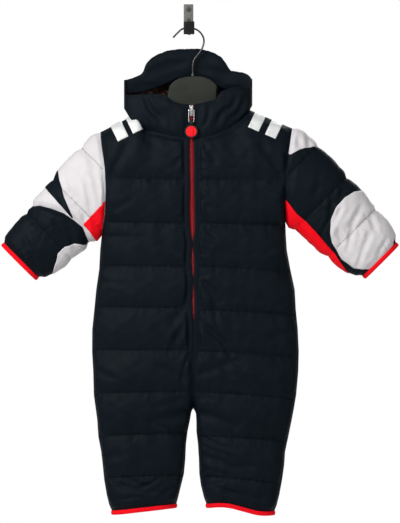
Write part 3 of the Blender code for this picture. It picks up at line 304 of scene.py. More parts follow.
# Hanger: x, height of its upper edge, height of its lower edge.
HANGER = (
    (-152, -210.5, -226), (-135, -201.3, -222), (-112, -189.6, -217), (-98, -183.7, -214),
    (-80, -183, -211), (-56, -170, -204), (-46, -156, -200), (-42.5, -134, -198), (-37, -124, -198),
    (-24, -115.5, -197), (0, -111.5, -196), (21, -114, -197), (35.5, -121.5, -198),
    (42.5, -133, -198), (46, -154, -200), (58, -166, -203), (82, -175, -208), (100, -176.3, -211),
    (140, -193.1, -219), (163, -203.3, -221),
)
HANGER_HALF_THICK = 4.0
HANGER_ROUNDING = 2.4

WIRE_RADIUS = 1.6
# Centre line of the hanger's wire hook: x, height.
WIRE_PATH = (
    (-0.6, -110.8), (-0.6, -97), (2, -83), (13.5, -67.5), (19, -53), (17, -41), (8, -31),
    (-6.5, -26.4), (-19, -29), (-28, -36.8), (-35, -44),
)

# Collar of the wire hook: x, lower and upper height.
WIRE_COLLAR = (-0.6, -114.0, -107.5)
WIRE_COLLAR_RADIUS = 3.0

# Wall hook. Its depths are from the wall.
PLATE_SIZE = (17, 3, 50)
PLATE_CENTRE = (-8, -1.5, -8)
ARM_RADIUS = 4.5
ARM_Z = -32.9
TIP_SIZE = (19, 6, 22.5)
TIP_CENTRE = (-7, -58, -27.2)
# Screws in the plate: height, radius.
SCREWS = ((8.0, 4.2), (-11.0, 3.4))

SLIDER_X = -3.0
SLIDER_Z = -173.0
SLIDER_FRONT = -34.1
# Boxes of the slider: size, place off its front, rounding, taper.
SLIDER_BOXES = (
    ((6.4, 1.5, 19), (0, 0.75, 0), 0.6, 0.74), ((6.4, 1.4, 19), (0, 3.9, 0), 0.55, 0.74),
    ((2.2, 3.6, 4.4), (0, 2.3, 6.1), 0.5, 1), ((0.9, 2.1, 15), (-2.45, 1.3, -1.6), 0.3, 1),
    ((0.9, 2.1, 15), (2.45, 1.3, -1.6), 0.3, 1),
)
# The slider's bridge: both ends off its middle, and how far it turns in at them.
BRIDGE_TOP = 6.5
BRIDGE_LOW = -5.5
BRIDGE_TURN = 1.0
BRIDGE_RADIUS = 0.9
BRIDGE_Y = -38.3
LINK_Y = -36.0
LINK_RADIUS = 0.8
LINK_TOP_Z = -171.5
LINK_BOTTOM_Z = -192.5
LINK_HALF_WIDTH = 4.6
LINK_TURN = 1.6
PULL_Z = -209.5
PULL_RADIUS = 12.0
PULL_BACK_Y = -37.3
PULL_FRONT_Y = -41.3
LUG_SIZE = (5.2, 3.9, 12.0)
# The pull's raised rim, in metres: its width, the width of its inner slope and its height.
RIM_WIDTH = 0.0016
RIM_SLOPE = 0.0007
RIM_DEPTH = 0.0009
GRIP_RADIUS = 9.4
GRIP_BAR = (7.0, 1.5, 15.0)
RIDGE_SIZE = (5.6, 0.9, 1.3)
RIDGE_STEP = 2.7
# Teeth of the zip: first and last height; width, thickness and part of the pitch; rounding;
# distance from the middle; and how far they stand in front of the tape.
TEETH_TOP_Z = -186.0
TEETH_BOTTOM_Z = -584.0
TOOTH_SIZE = (2.0, 1.1, 0.52)
TOOTH_ROUNDING = 0.26
TOOTH_OFF = 0.65
TOOTH_LIFT = 0.55
TAPE_WALL = 0.8
# Edges of the hard parts that turn by more than this many degrees stay sharp.
SMOOTH_ANGLE = 35.0

# How finely the cloth is lofted.
INNER_COLUMNS = 46
OUTER_COLUMNS = 24
YOKE_ROWS = 40
CHANNEL_ROWS = 26
SLEEVE_RINGS = {"upper": 60, "lower": 52, "whole": 108}
CUFF_RING = {"right": 520.2, "left": 537.2}
PANEL_ROWS = 56
COLLAR_ROWS = 30
HOOD_STEPS = 6
# How far below its middle a channel is fullest, and how flat its top is: less is flatter.
CHANNEL_SAG = 1.18
CHANNEL_FULLNESS = 0.5
# What the lifts in the table of sleeve panels are multiplied by.
PANEL_LIFT = 0.32
# About the height of one quilted channel, and of the collar, for the reach of their gathers.
CHANNEL_TALL = 74.0
COLLAR_TALL = 55.0
# How far the creases stray from straight lines, and over what length.
CREASE_WARP = 3.5
CREASE_WARP_LENGTH = 60.0
# Columns of a zip tape: distance from the middle, lift towards the front.
TAPE_COLUMNS = ((0, 0.25), (1.4, 0.2), (2.8, 0.1), (4.4, 0), (8, 0), (12, 0), (15, 0))
# Rows of a binding: how far it stands out, distance past the cloth's edge, share of the gathers.
BINDING_PROFILE = (
    (-0.5, -0.9, 0), (0.6, -0.8, 0.5), (1.1, 0.4, 1), (1.35, 2, 1), (1.4, 3.6, 1), (1.2, 5, 1),
    (0.7, 6.2, 0.8), (-0.3, 6.9, 0.5), (-1.2, 7, 0.2),
)

# The camera's view: its middle, height at that plane and distance, in metres.
VIEW_CENTRE = (0.02025, -0.07, -0.4366)
VIEW_HEIGHT = 0.91525
CAMERA_DISTANCE = 9.0
FLOOR_Z = -1.6
FLOOR_GLOW = 0.6
WORLD_LIGHT = 0.30
WHITE = (1.0, 1.0, 1.0, 1.0)
SENSOR_HEIGHT = 36.0
# Soft lights: what they are aimed at, and name, place, size in metres, power in watts.
LIGHT_AIM = (0, -0.08, -0.45)
LIGHTS = (
    ("key", (-1.4, -1.8, 0.75), (1.2, 0.9), 60),
    ("fill", (1.5, -2.2, 0.4), (1.3, 1.2), 15),
    ("back", (0.6, 2, 0.8), (1.6, 1.2), 34),
)

# Fine creases pressed into the cloth, by place and side: x and height of both ends, half width,
# depth. A negative depth is a ridge.
CREASES = {
    ("front", "left"): (
        (14, -226, 40, -262, 5, 1.4), (10, -322, 34, -344, 5, 1.8), (11, -376, 40, -396, 4, 1.8),
        (12, -398, 34, -408, 3.5, 1.5), (10, -424, 30, -430, 3.5, 1.2),
        (14, -470, 34, -486, 4, 1.6), (34, -496, 44, -560, 5, 1.8), (44, -560, 62, -600, 5, 1.8),
        (22, -548, 56, -590, 4.5, 1.6), (6, -610, 20, -680, 4.5, 1.6), (36, -604, 76, -640, 6, 1.5),
        (60, -650, 110, -660, 6, 1.2), (12, -742, 60, -764, 4.5, 1.8),
        (20, -760, 92, -790, 4.5, 2.2), (60, -792, 128, -800, 5, 1.6), (16, -800, 70, -806, 4, 1.4),
        (40, -836, 90, -846, 4, 1.4), (96, -300, 140, -318, 6, 1), (118, -420, 160, -408, 6, 1.1),
        (128, -570, 176, -560, 6, 1.2), (132, -700, 166, -716, 6, 1.4),
        (130, -742, 160, -752, 4.5, 1.6),
    ),
    ("front", "right"): (
        (12, -248, 36, -270, 5, 1.2), (12, -350, 30, -362, 4, 1.2), (12, -430, 46, -404, 5, 1.2),
        (10, -500, 26, -534, 4, 1.6), (16, -548, 34, -584, 4.5, 1.6), (8, -590, 18, -660, 4.5, 1.6),
        (22, -560, 40, -596, 4, 1.5), (20, -674, 70, -690, 5, 1.3), (24, -738, 64, -726, 4, 1.5),
        (60, -812, 98, -834, 4, 1.8), (70, -828, 124, -816, 4, 1.8), (84, -852, 130, -846, 4, 1.4),
        (40, -838, 62, -852, 4, 1.3), (108, -330, 144, -346, 6, 1), (122, -480, 164, -470, 6, 1),
        (132, -640, 168, -632, 6, 1.2), (120, -770, 156, -782, 5, 1.4),
    ),
    ("back", "left"): (
        (10, -250, 50, -276, 7, 1.4), (18, -470, 70, -500, 7, 2.2), (10, -566, 62, -610, 7, 2.6),
        (16, -640, 80, -628, 7, 2.2), (14, -704, 84, -726, 7, 2.6), (24, -770, 104, -792, 6, 2.4),
        (50, -842, 122, -834, 6, 2), (116, -330, 156, -350, 7, 1.6), (130, -540, 174, -528, 7, 1.6),
    ),
    ("back", "right"): (
        (12, -264, 56, -246, 7, 1.4), (14, -436, 64, -414, 7, 1.8), (12, -548, 66, -594, 7, 2.6),
        (18, -632, 74, -642, 7, 2), (16, -700, 88, -716, 7, 2.6), (30, -786, 110, -770, 6, 2.2),
        (60, -848, 128, -838, 6, 2), (112, -380, 152, -366, 7, 1.6), (126, -604, 170, -616, 7, 1.6),
    ),
    ("collar", "right"): ((86, -143, 54, -197, 6, 3.2), (64, -160, 34, -204, 6, 1.6)),
    ("collar", "left"): (
        (74, -146, 40, -200, 6, 2.4), (92, -150, 66, -188, 6, 1.6), (30, -166, 14, -206, 5, 1.4),
    ),
    ("hood", "right"): ((10, -84, 84, -104, 7, 1.6), (30, -150, 96, -128, 8, 2)),
    ("hood", "left"): ((8, -96, 62, -110, 7, 1.6), (24, -156, 90, -136, 8, 2)),
}
# Creases across the sleeves, by side and face: u and w of both ends, half width, depth.
SLEEVE_CREASES = {
    ("right", "front"): (
        (300, 0.1, 352, 0.62, 6, 1.3), (338, 0.3, 372, 0.66, 5, 1.5), (392, 0.2, 412, 0.58, 5, 1.2),
        (418, 0.62, 440, 0.92, 5, 1.6), (432, 0.4, 446, 0.8, 5, 1.4), (486, 0.2, 500, 0.6, 5, 1.2),
        (496, 0.52, 516, 0.88, 5, 1.2), (316, 0.46, 338, 0.78, 5, 1.3),
        (360, 0.06, 384, 0.34, 5, 1.2), (384, 0.6, 408, 0.88, 4.5, 1.5),
    ),
    ("right", "back"): (
        (310, 0.16, 356, 0.6, 7, 1.8), (396, 0.24, 420, 0.74, 6, 1.8),
        (470, 0.18, 492, 0.66, 6, 1.5),
    ),
    ("left", "front"): (
        (280, 0.05, 300, 0.15, 4, 1.8), (296, 0.01, 316, 0.1, 3.5, 1.6),
        (306, 0.3, 344, 0.72, 6, 1.2), (424, 0.34, 442, 0.78, 4, 2.4),
        (462, 0.4, 486, 0.74, 4.5, 2.4), (352, 0.16, 380, 0.48, 6, 1.2),
        (398, 0.3, 428, 0.64, 5, 2.6), (404, 0.12, 416, 0.4, 5, 2.1),
        (448, 0.12, 462, 0.52, 5, 2.1), (490, 0.28, 506, 0.62, 5, 2.2),
        (520, 0.16, 530, 0.5, 4, 1.8), (424, 0.5, 436, 0.94, 4.5, 2.4),
        (446, 0.62, 470, 0.7, 5, 2.6), (470, 0.1, 500, 0.26, 5, 2), (506, 0.6, 520, 0.9, 4, 2),
    ),
    ("left", "back"): (
        (330, 0.22, 366, 0.7, 7, 1.8), (408, 0.2, 430, 0.66, 6, 1.8), (486, 0.24, 508, 0.7, 6, 1.5),
    ),
}


# Sums shared by the cloth

SORTED_TABLES = {}


def sizes():
    return bpy.context.scene.snowsuit_sizes


def table(rows, column, at):
    """The value of one column of a table at this value of its first column."""
    key = (id(rows), column)
    found = SORTED_TABLES.get(key)
    if found is None:
        pairs = sorted((row[0], row[column]) for row in rows)
        found = ([pair[0] for pair in pairs], [pair[1] for pair in pairs])
        SORTED_TABLES[key] = found
    keys, values = found
    if at <= keys[0]:
        return values[0]
    if at >= keys[-1]:
        return values[-1]
    place = bisect.bisect_right(keys, at)
    part = (at - keys[place - 1]) / (keys[place] - keys[place - 1])
    return values[place - 1] + (values[place] - values[place - 1]) * part


def smooth_step(value):
    value = np.clip(value, 0.0, 1.0)
    return value * value * (3.0 - 2.0 * value)


def mix(first, second, part):
    return first + (second - first) * part


def unit(vectors):
    vectors = np.asarray(vectors, float)
    length = np.linalg.norm(vectors, axis=-1, keepdims=True)
    return vectors / np.maximum(length, 1e-9)


def superellipse(part):
    return (1.0 - min(abs(part), 1.0) ** SECTION_POWER) ** (1.0 / SECTION_POWER)


def channel_height(part):
    """How far the padding of a channel stands out. It settles a little below the middle."""
    sagged = np.clip(part, 0.0, 1.0) ** CHANNEL_SAG
    return np.maximum(np.sin(math.pi * sagged), 0.0) ** CHANNEL_FULLNESS


def ripple(x, z, length, seed):
    """Soft uneven waves of about this length, from -1 to 1."""
    rng = np.random.default_rng(seed)
    total = np.zeros(np.shape(x))
    for _ in range(6):
        angle = rng.uniform(0.0, math.tau)
        wave = length * rng.uniform(0.7, 1.5)
        phase = rng.uniform(0.0, math.tau)
        total += np.sin((x * math.cos(angle) + z * math.sin(angle)) * math.tau / wave + phase)
    return total / 3.2


def places_on_line(x, z, ends):
    """Part of the way along a line, and distance from it."""
    x0, z0, x1, z1 = ends
    long2 = (x1 - x0) ** 2 + (z1 - z0) ** 2
    along = ((x - x0) * (x1 - x0) + (z - z0) * (z1 - z0)) / long2
    near = np.clip(along, 0.0, 1.0)
    return along, np.hypot(x - mix(x0, x1, near), z - mix(z0, z1, near))


def trough(x, z, ends, half_width, deep):
    """A crease along a line: deepest at its middle, with a soft ridge on either side."""
    along, off = places_on_line(x, z, ends)
    off = off / half_width
    swell = 0.35 * np.exp(-((off - 1.7) / 0.8) ** 2)
    taper = smooth_step(1.3 - np.abs(2.0 * along - 1.0) * 0.9)
    return deep * (np.exp(-off ** 2) - swell) * taper


def creases(place, side, x, z):
    """Depth of all the creases of one place on one side."""
    warped_x, warped_z = (at + CREASE_WARP * ripple(x, z, CREASE_WARP_LENGTH, seed)
                          for at, seed in ((x, 11), (z, 12)))
    return sizes().crease_depth * sum(
        trough(warped_x, warped_z, ends, half_width, deep)
        for *ends, half_width, deep in CREASES.get((place, side), ()))


def dents(x, z, deep, length, seed):
    """Depth of the soft uneven dents between the creases."""
    return sizes().crease_depth * deep * ripple(x, z, length, seed)


def puckers(along, away, first, last, seed, spacing, reach):
    """Short uneven creases square to a seam: `along` runs with the seam and `away` off it."""
    rng = np.random.default_rng(seed)
    total = np.zeros(np.shape(along))
    at = first
    while at < last:
        at += spacing * rng.uniform(0.45, 1.7)
        width = rng.uniform(1.5, 3.2)
        far = reach * rng.uniform(0.5, 1.5)
        slant = rng.uniform(-0.45, 0.45)
        deep = rng.uniform(0.35, 1.0)
        off = (along - at - slant * away) / width
        total += deep * np.exp(-off ** 2) * np.exp(-(away / far) ** 2)
    return total * sizes().pucker_depth / MM


def run_along(path):
    """Distance along a path at each of its points."""
    steps = np.linalg.norm(np.diff(path, axis=0), axis=1)
    return np.concatenate([[0.0], np.cumsum(steps)])


def between(at, keys, points):
    """Points between the rows of a path, where its keys reach these values."""
    return np.stack([np.interp(at, keys, points[:, axis]) for axis in range(3)], axis=-1)


def grid_normals(grid, outward, wrap=False):
    """Unit normals of a grid of points, on the side that the outward vectors point to."""
    down = np.gradient(grid, axis=0)
    if wrap:
        across = np.roll(grid, -1, axis=1) - np.roll(grid, 1, axis=1)
    else:
        across = np.gradient(grid, axis=1)
    normals = unit(np.cross(across, down))
    if (normals * outward).sum() < 0.0:
        normals = -normals
    return normals


# The body's four panels


def side_x(side, z):
    return table(SIDE_EDGE[side], 1, z)


def inner_x(side, face, z):
    """The panel's inner edge: at the zip or centre seam, and below the crotch at the inseam."""
    if z <= CROTCH_Z:
        return table(INSEAM[side], 1, z)
    opening = table(ZIP_LINE, 2, z) if face == "front" else -HALF_LAP
    return SIGN[side] * table(ZIP_LINE, 1, z) + opening


def armhole_depth(side, z):
    top = SIDE_EDGE[side][0][0]
    part = (top - z) / (top - UNDERARM_Z[side])
    if part <= 0.0 or part >= 1.0:
        return 0.0
    return ARMHOLE_DEPTH * math.sqrt(1.0 - (2.0 * part - 1.0) ** 2)


def line_z(side, line, t):
    """Height of a quilting line at this part of the way to the side. The last line is the hem."""
    if line > len(QUILT_LINES[side]):
        return sum(table(HEM[side], 1, t + off) for off in (-0.14, -0.07, 0.0, 0.07, 0.14)) / 5
    middle, edge = QUILT_LINES[side][line - 1]
    return mix(middle, edge, t ** 1.5)


def section_y(side, face, x, z):
    """Depth of the body below its first quilting line."""
    outer = side_x(side, z)
    inner = inner_x(side, "back", z)
    if z > VALLEY_TOP_Z:
        centre = 0.0
    elif z > CROTCH_Z:
        part = (VALLEY_TOP_Z - z) / (VALLEY_TOP_Z - CROTCH_Z)
        centre = (part * outer + inner) / (1.0 + part)
    else:
        centre = 0.5 * (inner + outer)
    deep = table(BODY_DEPTH, 1 if face == "front" else 2, z)
    arm = armhole_depth(side, z)
    return arm + (deep - arm) * superellipse((x - centre) / (outer - centre))


def top_edge(side, face, t):
    """x, depth and height of the neck edge and the shoulder seam."""
    neck = NECK_EDGE[side][-1]
    tip_z, tip_x = SIDE_EDGE[side][0]
    if t >= NECK_COLUMN - 1e-9:
        part = (t - NECK_COLUMN) / (1.0 - NECK_COLUMN)
        return mix(neck[0], tip_x, part), 0.0, mix(neck[1], tip_z, part)
    x = max(neck[0] * t / NECK_COLUMN, inner_x(side, face, neck[1]))
    depth = NECK_DEPTH[face] * math.sqrt(1.0 - (x / neck[0]) ** 2)
    return x, depth, table(NECK_EDGE[side], 1 if face == "front" else 2, x)


def body_point(side, face, level, t):
    """Point of a panel's seam surface. Level 0 is the top edge, and 1 the first quilting line."""
    if level < 1.0:
        x0, y0, z0 = top_edge(side, face, t)
        z1 = line_z(side, 1, t)
        x1 = mix(inner_x(side, face, z1), side_x(side, z1), t)
        z = mix(z0, z1, level)
        x = mix(x0, x1, smooth_step(level))
        rounded = math.sqrt(1.0 - (1.0 - level) ** 2)
        blend = mix(level, rounded, smooth_step((t - 0.45) / 0.25))
        y = mix(y0, section_y(side, face, x1, z1), blend)
        if t == 1.0:
            x = side_x(side, z)
            y = armhole_depth(side, z)
        elif t == 0.0:
            x = inner_x(side, face, z)
    else:
        line = min(int(level), len(QUILT_LINES[side]))
        z = mix(line_z(side, line, t), line_z(side, line + 1, t), level - line)
        z_inner = mix(line_z(side, line, 0.0), line_z(side, line + 1, 0.0), level - line)
        z_outer = mix(line_z(side, line, 1.0), line_z(side, line + 1, 1.0), level - line)
        x = mix(inner_x(side, face, z_inner), side_x(side, z_outer), t)
        y = section_y(side, face, x, z)
        if t == 1.0:
            y = armhole_depth(side, z)
        elif t == 0.0 and z <= CROTCH_Z + 0.01:
            y = 0.0
    return np.array([SIGN[side] * x, FACING[face] * (y if y > 0.0 else -HALF_LAP), z])


def level_at(side, z, t):
    """The level of a height below the first quilting line."""
    lines = [line_z(side, line, t) for line in range(1, len(QUILT_LINES[side]) + 2)]
    return float(np.interp(-z, [-height for height in lines], range(1, len(lines) + 1)))


def panel_columns():
    """Parts of the way across a panel, closer together at both edges."""
    inner = NECK_COLUMN * np.linspace(0.0, 1.0, INNER_COLUMNS + 1) ** 1.3
    outer = 1.0 - (1.0 - NECK_COLUMN) * np.linspace(1.0, 0.0, OUTER_COLUMNS + 1) ** 1.6
    return np.concatenate([inner, outer[1:]])


def panel_levels(side):
    """The rows of a panel, with the underarm and the crotch among them."""
    yoke = np.linspace(0.0, 1.0, YOKE_ROWS, endpoint=False) ** 1.35
    lines = len(QUILT_LINES[side])
    rows = np.linspace(0.0, 1.0, CHANNEL_ROWS, endpoint=False)
    rows = mix(rows, 0.5 - 0.5 * np.cos(math.pi * rows), 0.55)
    quilted = (np.arange(1.0, lines + 1.0)[:, None] + rows).ravel()
    quilted = np.append(quilted, lines + 1.0)
    levels = np.concatenate([yoke, quilted])
    underarm = level_at(side, UNDERARM_Z[side], 1.0)
    crotch = level_at(side, CROTCH_Z, 0.0)
    for special in (underarm, crotch):
        levels[np.argmin(np.abs(levels - special))] = special
    return np.sort(levels), underarm, crotch


def in_plane(curve, axis, towards):
    """Unit vectors across a curve that lies in the plane of one axis, on the side of a point."""
    flat = np.array(curve, float)
    flat[:, axis] = 0.0
    along = unit(np.gradient(flat, axis=0))
    normal = np.zeros(3)
    normal[axis] = 1.0
    across = np.cross(along, normal)
    aim = np.asarray(towards, float) - flat
    aim[:, axis] = 0.0
    across *= np.where((across * aim).sum(axis=1) < 0.0, -1.0, 1.0)[:, None]
    return across


def body_inward(side, face, grid, levels, underarm, crotch):
    """Directions into the wall. At each seam they keep to the plane of that seam."""
    sign = SIGN[side]
    inward = -grid_normals(grid, np.array([0.0, FACING[face], 0.0]))
    up = np.array([0.0, 0.0, 1.0])
    middle = levels <= crotch + 1e-6
    legs = levels >= crotch - 1e-6
    inward[middle, 0] = in_plane(grid[middle, 0], 0, (0.0, 0.0, -400.0))
    inward[legs, 0] = in_plane(grid[legs, 0], 1, (sign * 90.0, 0.0, -750.0))
    inward[np.isclose(levels, crotch), 0] = up
    arms = levels <= underarm + 1e-6
    sides = levels >= underarm - 1e-6
    loop = grid[arms, -1]
    inward[arms, -1] = in_plane(loop, 0, (0.0, 0.0, 0.5 * (loop[0, 2] + loop[-1, 2])))
    inward[sides, -1] = in_plane(grid[sides, -1], 1, (sign * 60.0, 0.0, -620.0))
    inward[np.isclose(levels, underarm), -1] = up
    inward[0, :INNER_COLUMNS + 1] = [neck_inward(side, face, point)
                                     for point in grid[0, :INNER_COLUMNS + 1]]
    shoulder = grid[0, -1] - grid[0, INNER_COLUMNS]
    inward[0, INNER_COLUMNS + 1:] = unit((shoulder[2], 0.0, -shoulder[0])) * sign
    inward[0, -1] = -up
    hem = inward[-1].copy()
    hem[:, 2] = 0.0
    inward[-1] = unit(hem)
    return inward


def neck_inward(side, face, point):
    """Level direction into the neck's oval."""
    x = SIGN[side] * point[0]
    wide = NECK_EDGE[side][-1][0]
    deep = NECK_DEPTH[face]
    if x >= wide - 1e-6:
        return np.array([-SIGN[side], 0.0, 0.0])
    if x < 8.0:
        return np.array([0.0, -FACING[face], 0.0])
    return unit((-SIGN[side] * x / wide ** 2, -point[1] / deep ** 2, 0.0))


def body_relief(side, face, levels, grid):
    """How far the outer face stands off the seam surface at each point of the grid."""
    x = SIGN[side] * grid[..., 0]
    z = grid[..., 2]
    part = (levels - np.floor(levels))[:, None] + np.zeros(x.shape)
    puff = (sizes().front_puff if face == "front" else sizes().back_puff) / MM
    height = puff * channel_height(part) * (1.0 + 0.10 * ripple(x, z, 130.0, 21))
    if face == "front":
        height -= folds(side, x, z)
    from_inner = x - at_each(lambda one: inner_x(side, face, one), z)
    from_side = at_each(lambda one: side_x(side, one), z) - x
    height -= creases(face, side, x, z)
    height -= dents(x * 1.7, z, 0.55, 46.0, 31 + len(side) + len(face))
    height -= dents(x, z, 0.30, 21.0, 47 + len(side) + len(face))
    seed = 100 * len(side) + 10 * len(face)
    drop = np.where(part < 0.5, part, 1.0 - part) * CHANNEL_TALL
    for number in range(len(QUILT_LINES[side]) + 1):
        near = np.abs(levels - number - 1.0) < 0.5
        height[near] -= puckers(x[near], drop[near], 0.0, 190.0, seed + number, 8.0, 12.0)
    band = ZIP_BAND if face == "front" else 1.0
    for share, away, number, spacing, reach in ((0.9, from_side, 31, 9.0, 11.0),
                                                (1.1, from_inner - band, 32, 8.0, 13.0)):
        height -= share * puckers(-z, np.maximum(away, 0.0), 190.0, 880.0, seed + number,
                                  spacing, reach)
    zipped = smooth_step((z - VALLEY_TOP_Z + 40.0) / 60.0) if face == "front" else 0.0
    fade = smooth_step((from_inner - band * zipped) / mix(SEAM_FADE, BAND_FADE, zipped))
    fade *= smooth_step(from_side / SEAM_FADE)
    puffed = np.maximum(height + 0.8, -0.6) * fade
    ends = smooth_step((levels[-1] - levels) * 6.0)[:, None]
    neck = smooth_step(levels * 7.0)[:, None]
    flat_band = zipped * np.exp(-((from_inner - 0.5 * band) / 3.3) ** 4)
    puffed += flat_band * (1.0 + 0.35 * ripple(x, z, 24.0, 71))
    return puffed * np.minimum(ends, 1.0) * neck


def folds(side, x, z):
    """Depth of the soft folds that the solids have too."""
    deepest = np.zeros(np.shape(x))
    for *ends, half_width, deep in FOLDS[side]:
        off = places_on_line(x, z, ends)[1]
        deepest = np.maximum(deepest, deep * np.exp(-(off / half_width) ** 2))
    return deepest


def at_each(find, heights):
    """What a function says of each height of a grid."""
    return np.array([find(z) for z in heights.ravel()]).reshape(heights.shape)


def body_panel(side, face):
    """Outer and inner points of one panel, with the edges that its neighbours share."""
    levels, underarm, crotch = panel_levels(side)
    grid = np.array([[body_point(side, face, level, t) for t in panel_columns()]
                     for level in levels])
    grid[0, :INNER_COLUMNS + 1, 2] += HALF_LAP
    inward = body_inward(side, face, grid, levels, underarm, crotch)
    relief = body_relief(side, face, levels, grid)
    arms = levels <= underarm + 1e-6
    return {
        "seam": grid,
        "outer": grid - inward * relief[..., None],
        "inner": grid + inward * WALL,
        "inward": inward,
        "armhole": grid[arms, -1],
        "armhole_inward": inward[arms, -1],
        "levels": levels,
    }


# Sleeves


def sleeve_frame(side):
    """Height of the shoulder tip and the underarm, and w against u along the armhole."""
    tip = SIDE_EDGE[side][0][0]
    under = UNDERARM_Z[side]
    rows = []
    for part in np.linspace(0.0, 1.0, 61):
        z = mix(tip, under, part)
        x = side_x(side, z)
        rows.append(((x - z) * ROOT_HALF, part, (-x - z) * ROOT_HALF))
    return rows


ARMHOLE_TABLE = {side: sleeve_frame(side) for side in SIGN}


def sleeve_point(side, face, u, w):
    """Point of a sleeve's seam surface. w runs from 0 along its top to 1 along its underside."""
    rows = ARMHOLE_TABLE[side]
    top = table(SLEEVE_TOP[side], 1, u)
    if u < rows[-1][0]:
        reach = max(table(rows, 1, u), 1e-6)
        edge = table(rows, 2, u)
    else:
        reach = 1.0
        edge = table(SLEEVE_BOTTOM[side], 1, u)
    v = mix(top, edge, min(w / reach, 1.0))
    deep = table(SLEEVE_DEPTH, 1, u) * math.sqrt(max(1.0 - (2.0 * w - 1.0) ** 2, 0.0))
    x = (u - v) * ROOT_HALF
    z = -(u + v) * ROOT_HALF
    return np.array([SIGN[side] * x, FACING[face] * deep, z])


def sleeve_relief(side, part, us, ws, faces, out):
    """How far a sleeve's outer face stands off its seam surface."""
    lines = np.array(SLEEVE_LINES[side])
    at = np.clip(np.searchsorted(lines, us) - 1, 0, len(lines) - 2)
    channel = (us - lines[at]) / (lines[at + 1] - lines[at])
    height = sizes().sleeve_puff / MM * channel_height(channel)
    height *= 1.0 + 0.12 * ripple(us, ws * 150.0 * out, 110.0, 61)
    for face in FACING:
        for u0, w0, u1, w1, half_width, deep in SLEEVE_CREASES.get((side, face), ()):
            cut = trough(us, ws * 120.0, (u0, w0 * 120.0, u1, w1 * 120.0), half_width, deep)
            height -= sizes().crease_depth * np.where(faces == FACING[face], cut, 0.0)
    round_way = ws * 110.0 * out
    height -= dents(us * 1.5, round_way, 0.5, 42.0, 62) + dents(us, round_way, 0.28, 19.0, 63)
    off_seam, off_cuff = us - us[:1], us[-1:] - us
    gathers = [(1.0, np.abs(us - line), CHANNEL_TALL / 2, 70 + number, 8.0, 11.0)
               for number, line in enumerate(lines)]
    gathers.append((1.0, off_seam, math.inf, 81, 9.0, 9.0))
    if part != "upper":
        gathers.append((1.3, off_cuff, math.inf, 82, 5.5, 12.0))
    for share, away, far, *rest in gathers:
        gather = puckers(round_way + 120.0, away, -10.0, 250.0, *rest)
        height -= share * np.where(away < far, gather, 0.0)
    fade = smooth_step(off_seam / SEAM_FADE) * smooth_step(off_cuff / SEAM_FADE)
    return np.maximum(height + 0.7, -0.5) * fade


def ring_places(side, start, end, count):
    """Places of rings along a sleeve, closer together at its quilting lines."""
    fine = np.arange(start, end + 0.25, 0.5)
    dense = np.ones(len(fine))
    for line in SLEEVE_LINES[side]:
        dense += 3.0 * np.exp(-((fine - line) / 3.5) ** 2)
    total = np.concatenate([[0.0], np.cumsum(dense[1:])])
    places = np.interp(np.linspace(0.0, total[-1], count + 1), total, fine)
    places[-1] = end
    return places


def sleeve_tube(side, part):
    """Outer and inner points of a sleeve, or of its upper or lower part, all the way round."""
    columns = []
    tip = SIDE_EDGE[side][0][0]
    under = UNDERARM_Z[side]
    for face in ("front", "back"):
        panel = lofted(side, face)
        found = []
        for point, inward in zip(panel["armhole"], panel["armhole_inward"]):
            w = (tip - point[2]) / (tip - under)
            found.append((min(max(w, 0.0), 1.0), face, point, inward))
        columns += found if face == "front" else found[::-1][1:-1]
    count = SLEEVE_RINGS[part]
    us = np.zeros((count + 1, len(columns)))
    grid = np.zeros((count + 1, len(columns), 3))
    for j, (w, face, edge, _) in enumerate(columns):
        start = (abs(edge[0]) - edge[2]) * ROOT_HALF
        end = CUFF_RING[side]
        if part == "upper":
            end = table(FOREARM_SEAM, 1, w) + HALF_LAP
        elif part == "lower":
            start = table(FOREARM_SEAM, 1, w) - HALF_LAP
        us[:, j] = ring_places(side, start, end, count)
        for k in range(count + 1):
            grid[k, j] = sleeve_point(side, face, us[k, j], w)
        if part != "lower":
            grid[0, j] = edge - np.array([SIGN[side] * SEAM_LAP, 0.0, 0.0])
    centre = grid.mean(axis=1, keepdims=True)
    inward = -grid_normals(grid, grid - centre, wrap=True)
    if part != "lower":
        start_inward = np.array([column[3] for column in columns])
        for k in range(5):
            inward[k] = unit(mix(start_inward, inward[k], k / 5.0))
    ws = np.array([[column[0] for column in columns]]) + np.zeros(us.shape)
    faces = np.array([[FACING[column[1]] for column in columns]]) + np.zeros(us.shape)
    relief = sleeve_relief(side, part, us, ws, faces, -faces)
    return {
        "u": us,
        "outer": grid - inward * relief[..., None],
        "inner": grid + inward * WALL,
        "inward": inward,
        "columns": columns,
    }


def along_column(tube, column, u):
    """Outer point and direction of a tube at this u, on the straight edge between its rings."""
    us = tube["u"][:, column]
    point = between(u, us, tube["outer"][:, column])
    return point, unit(between(u, us, tube["inward"][:, column]))


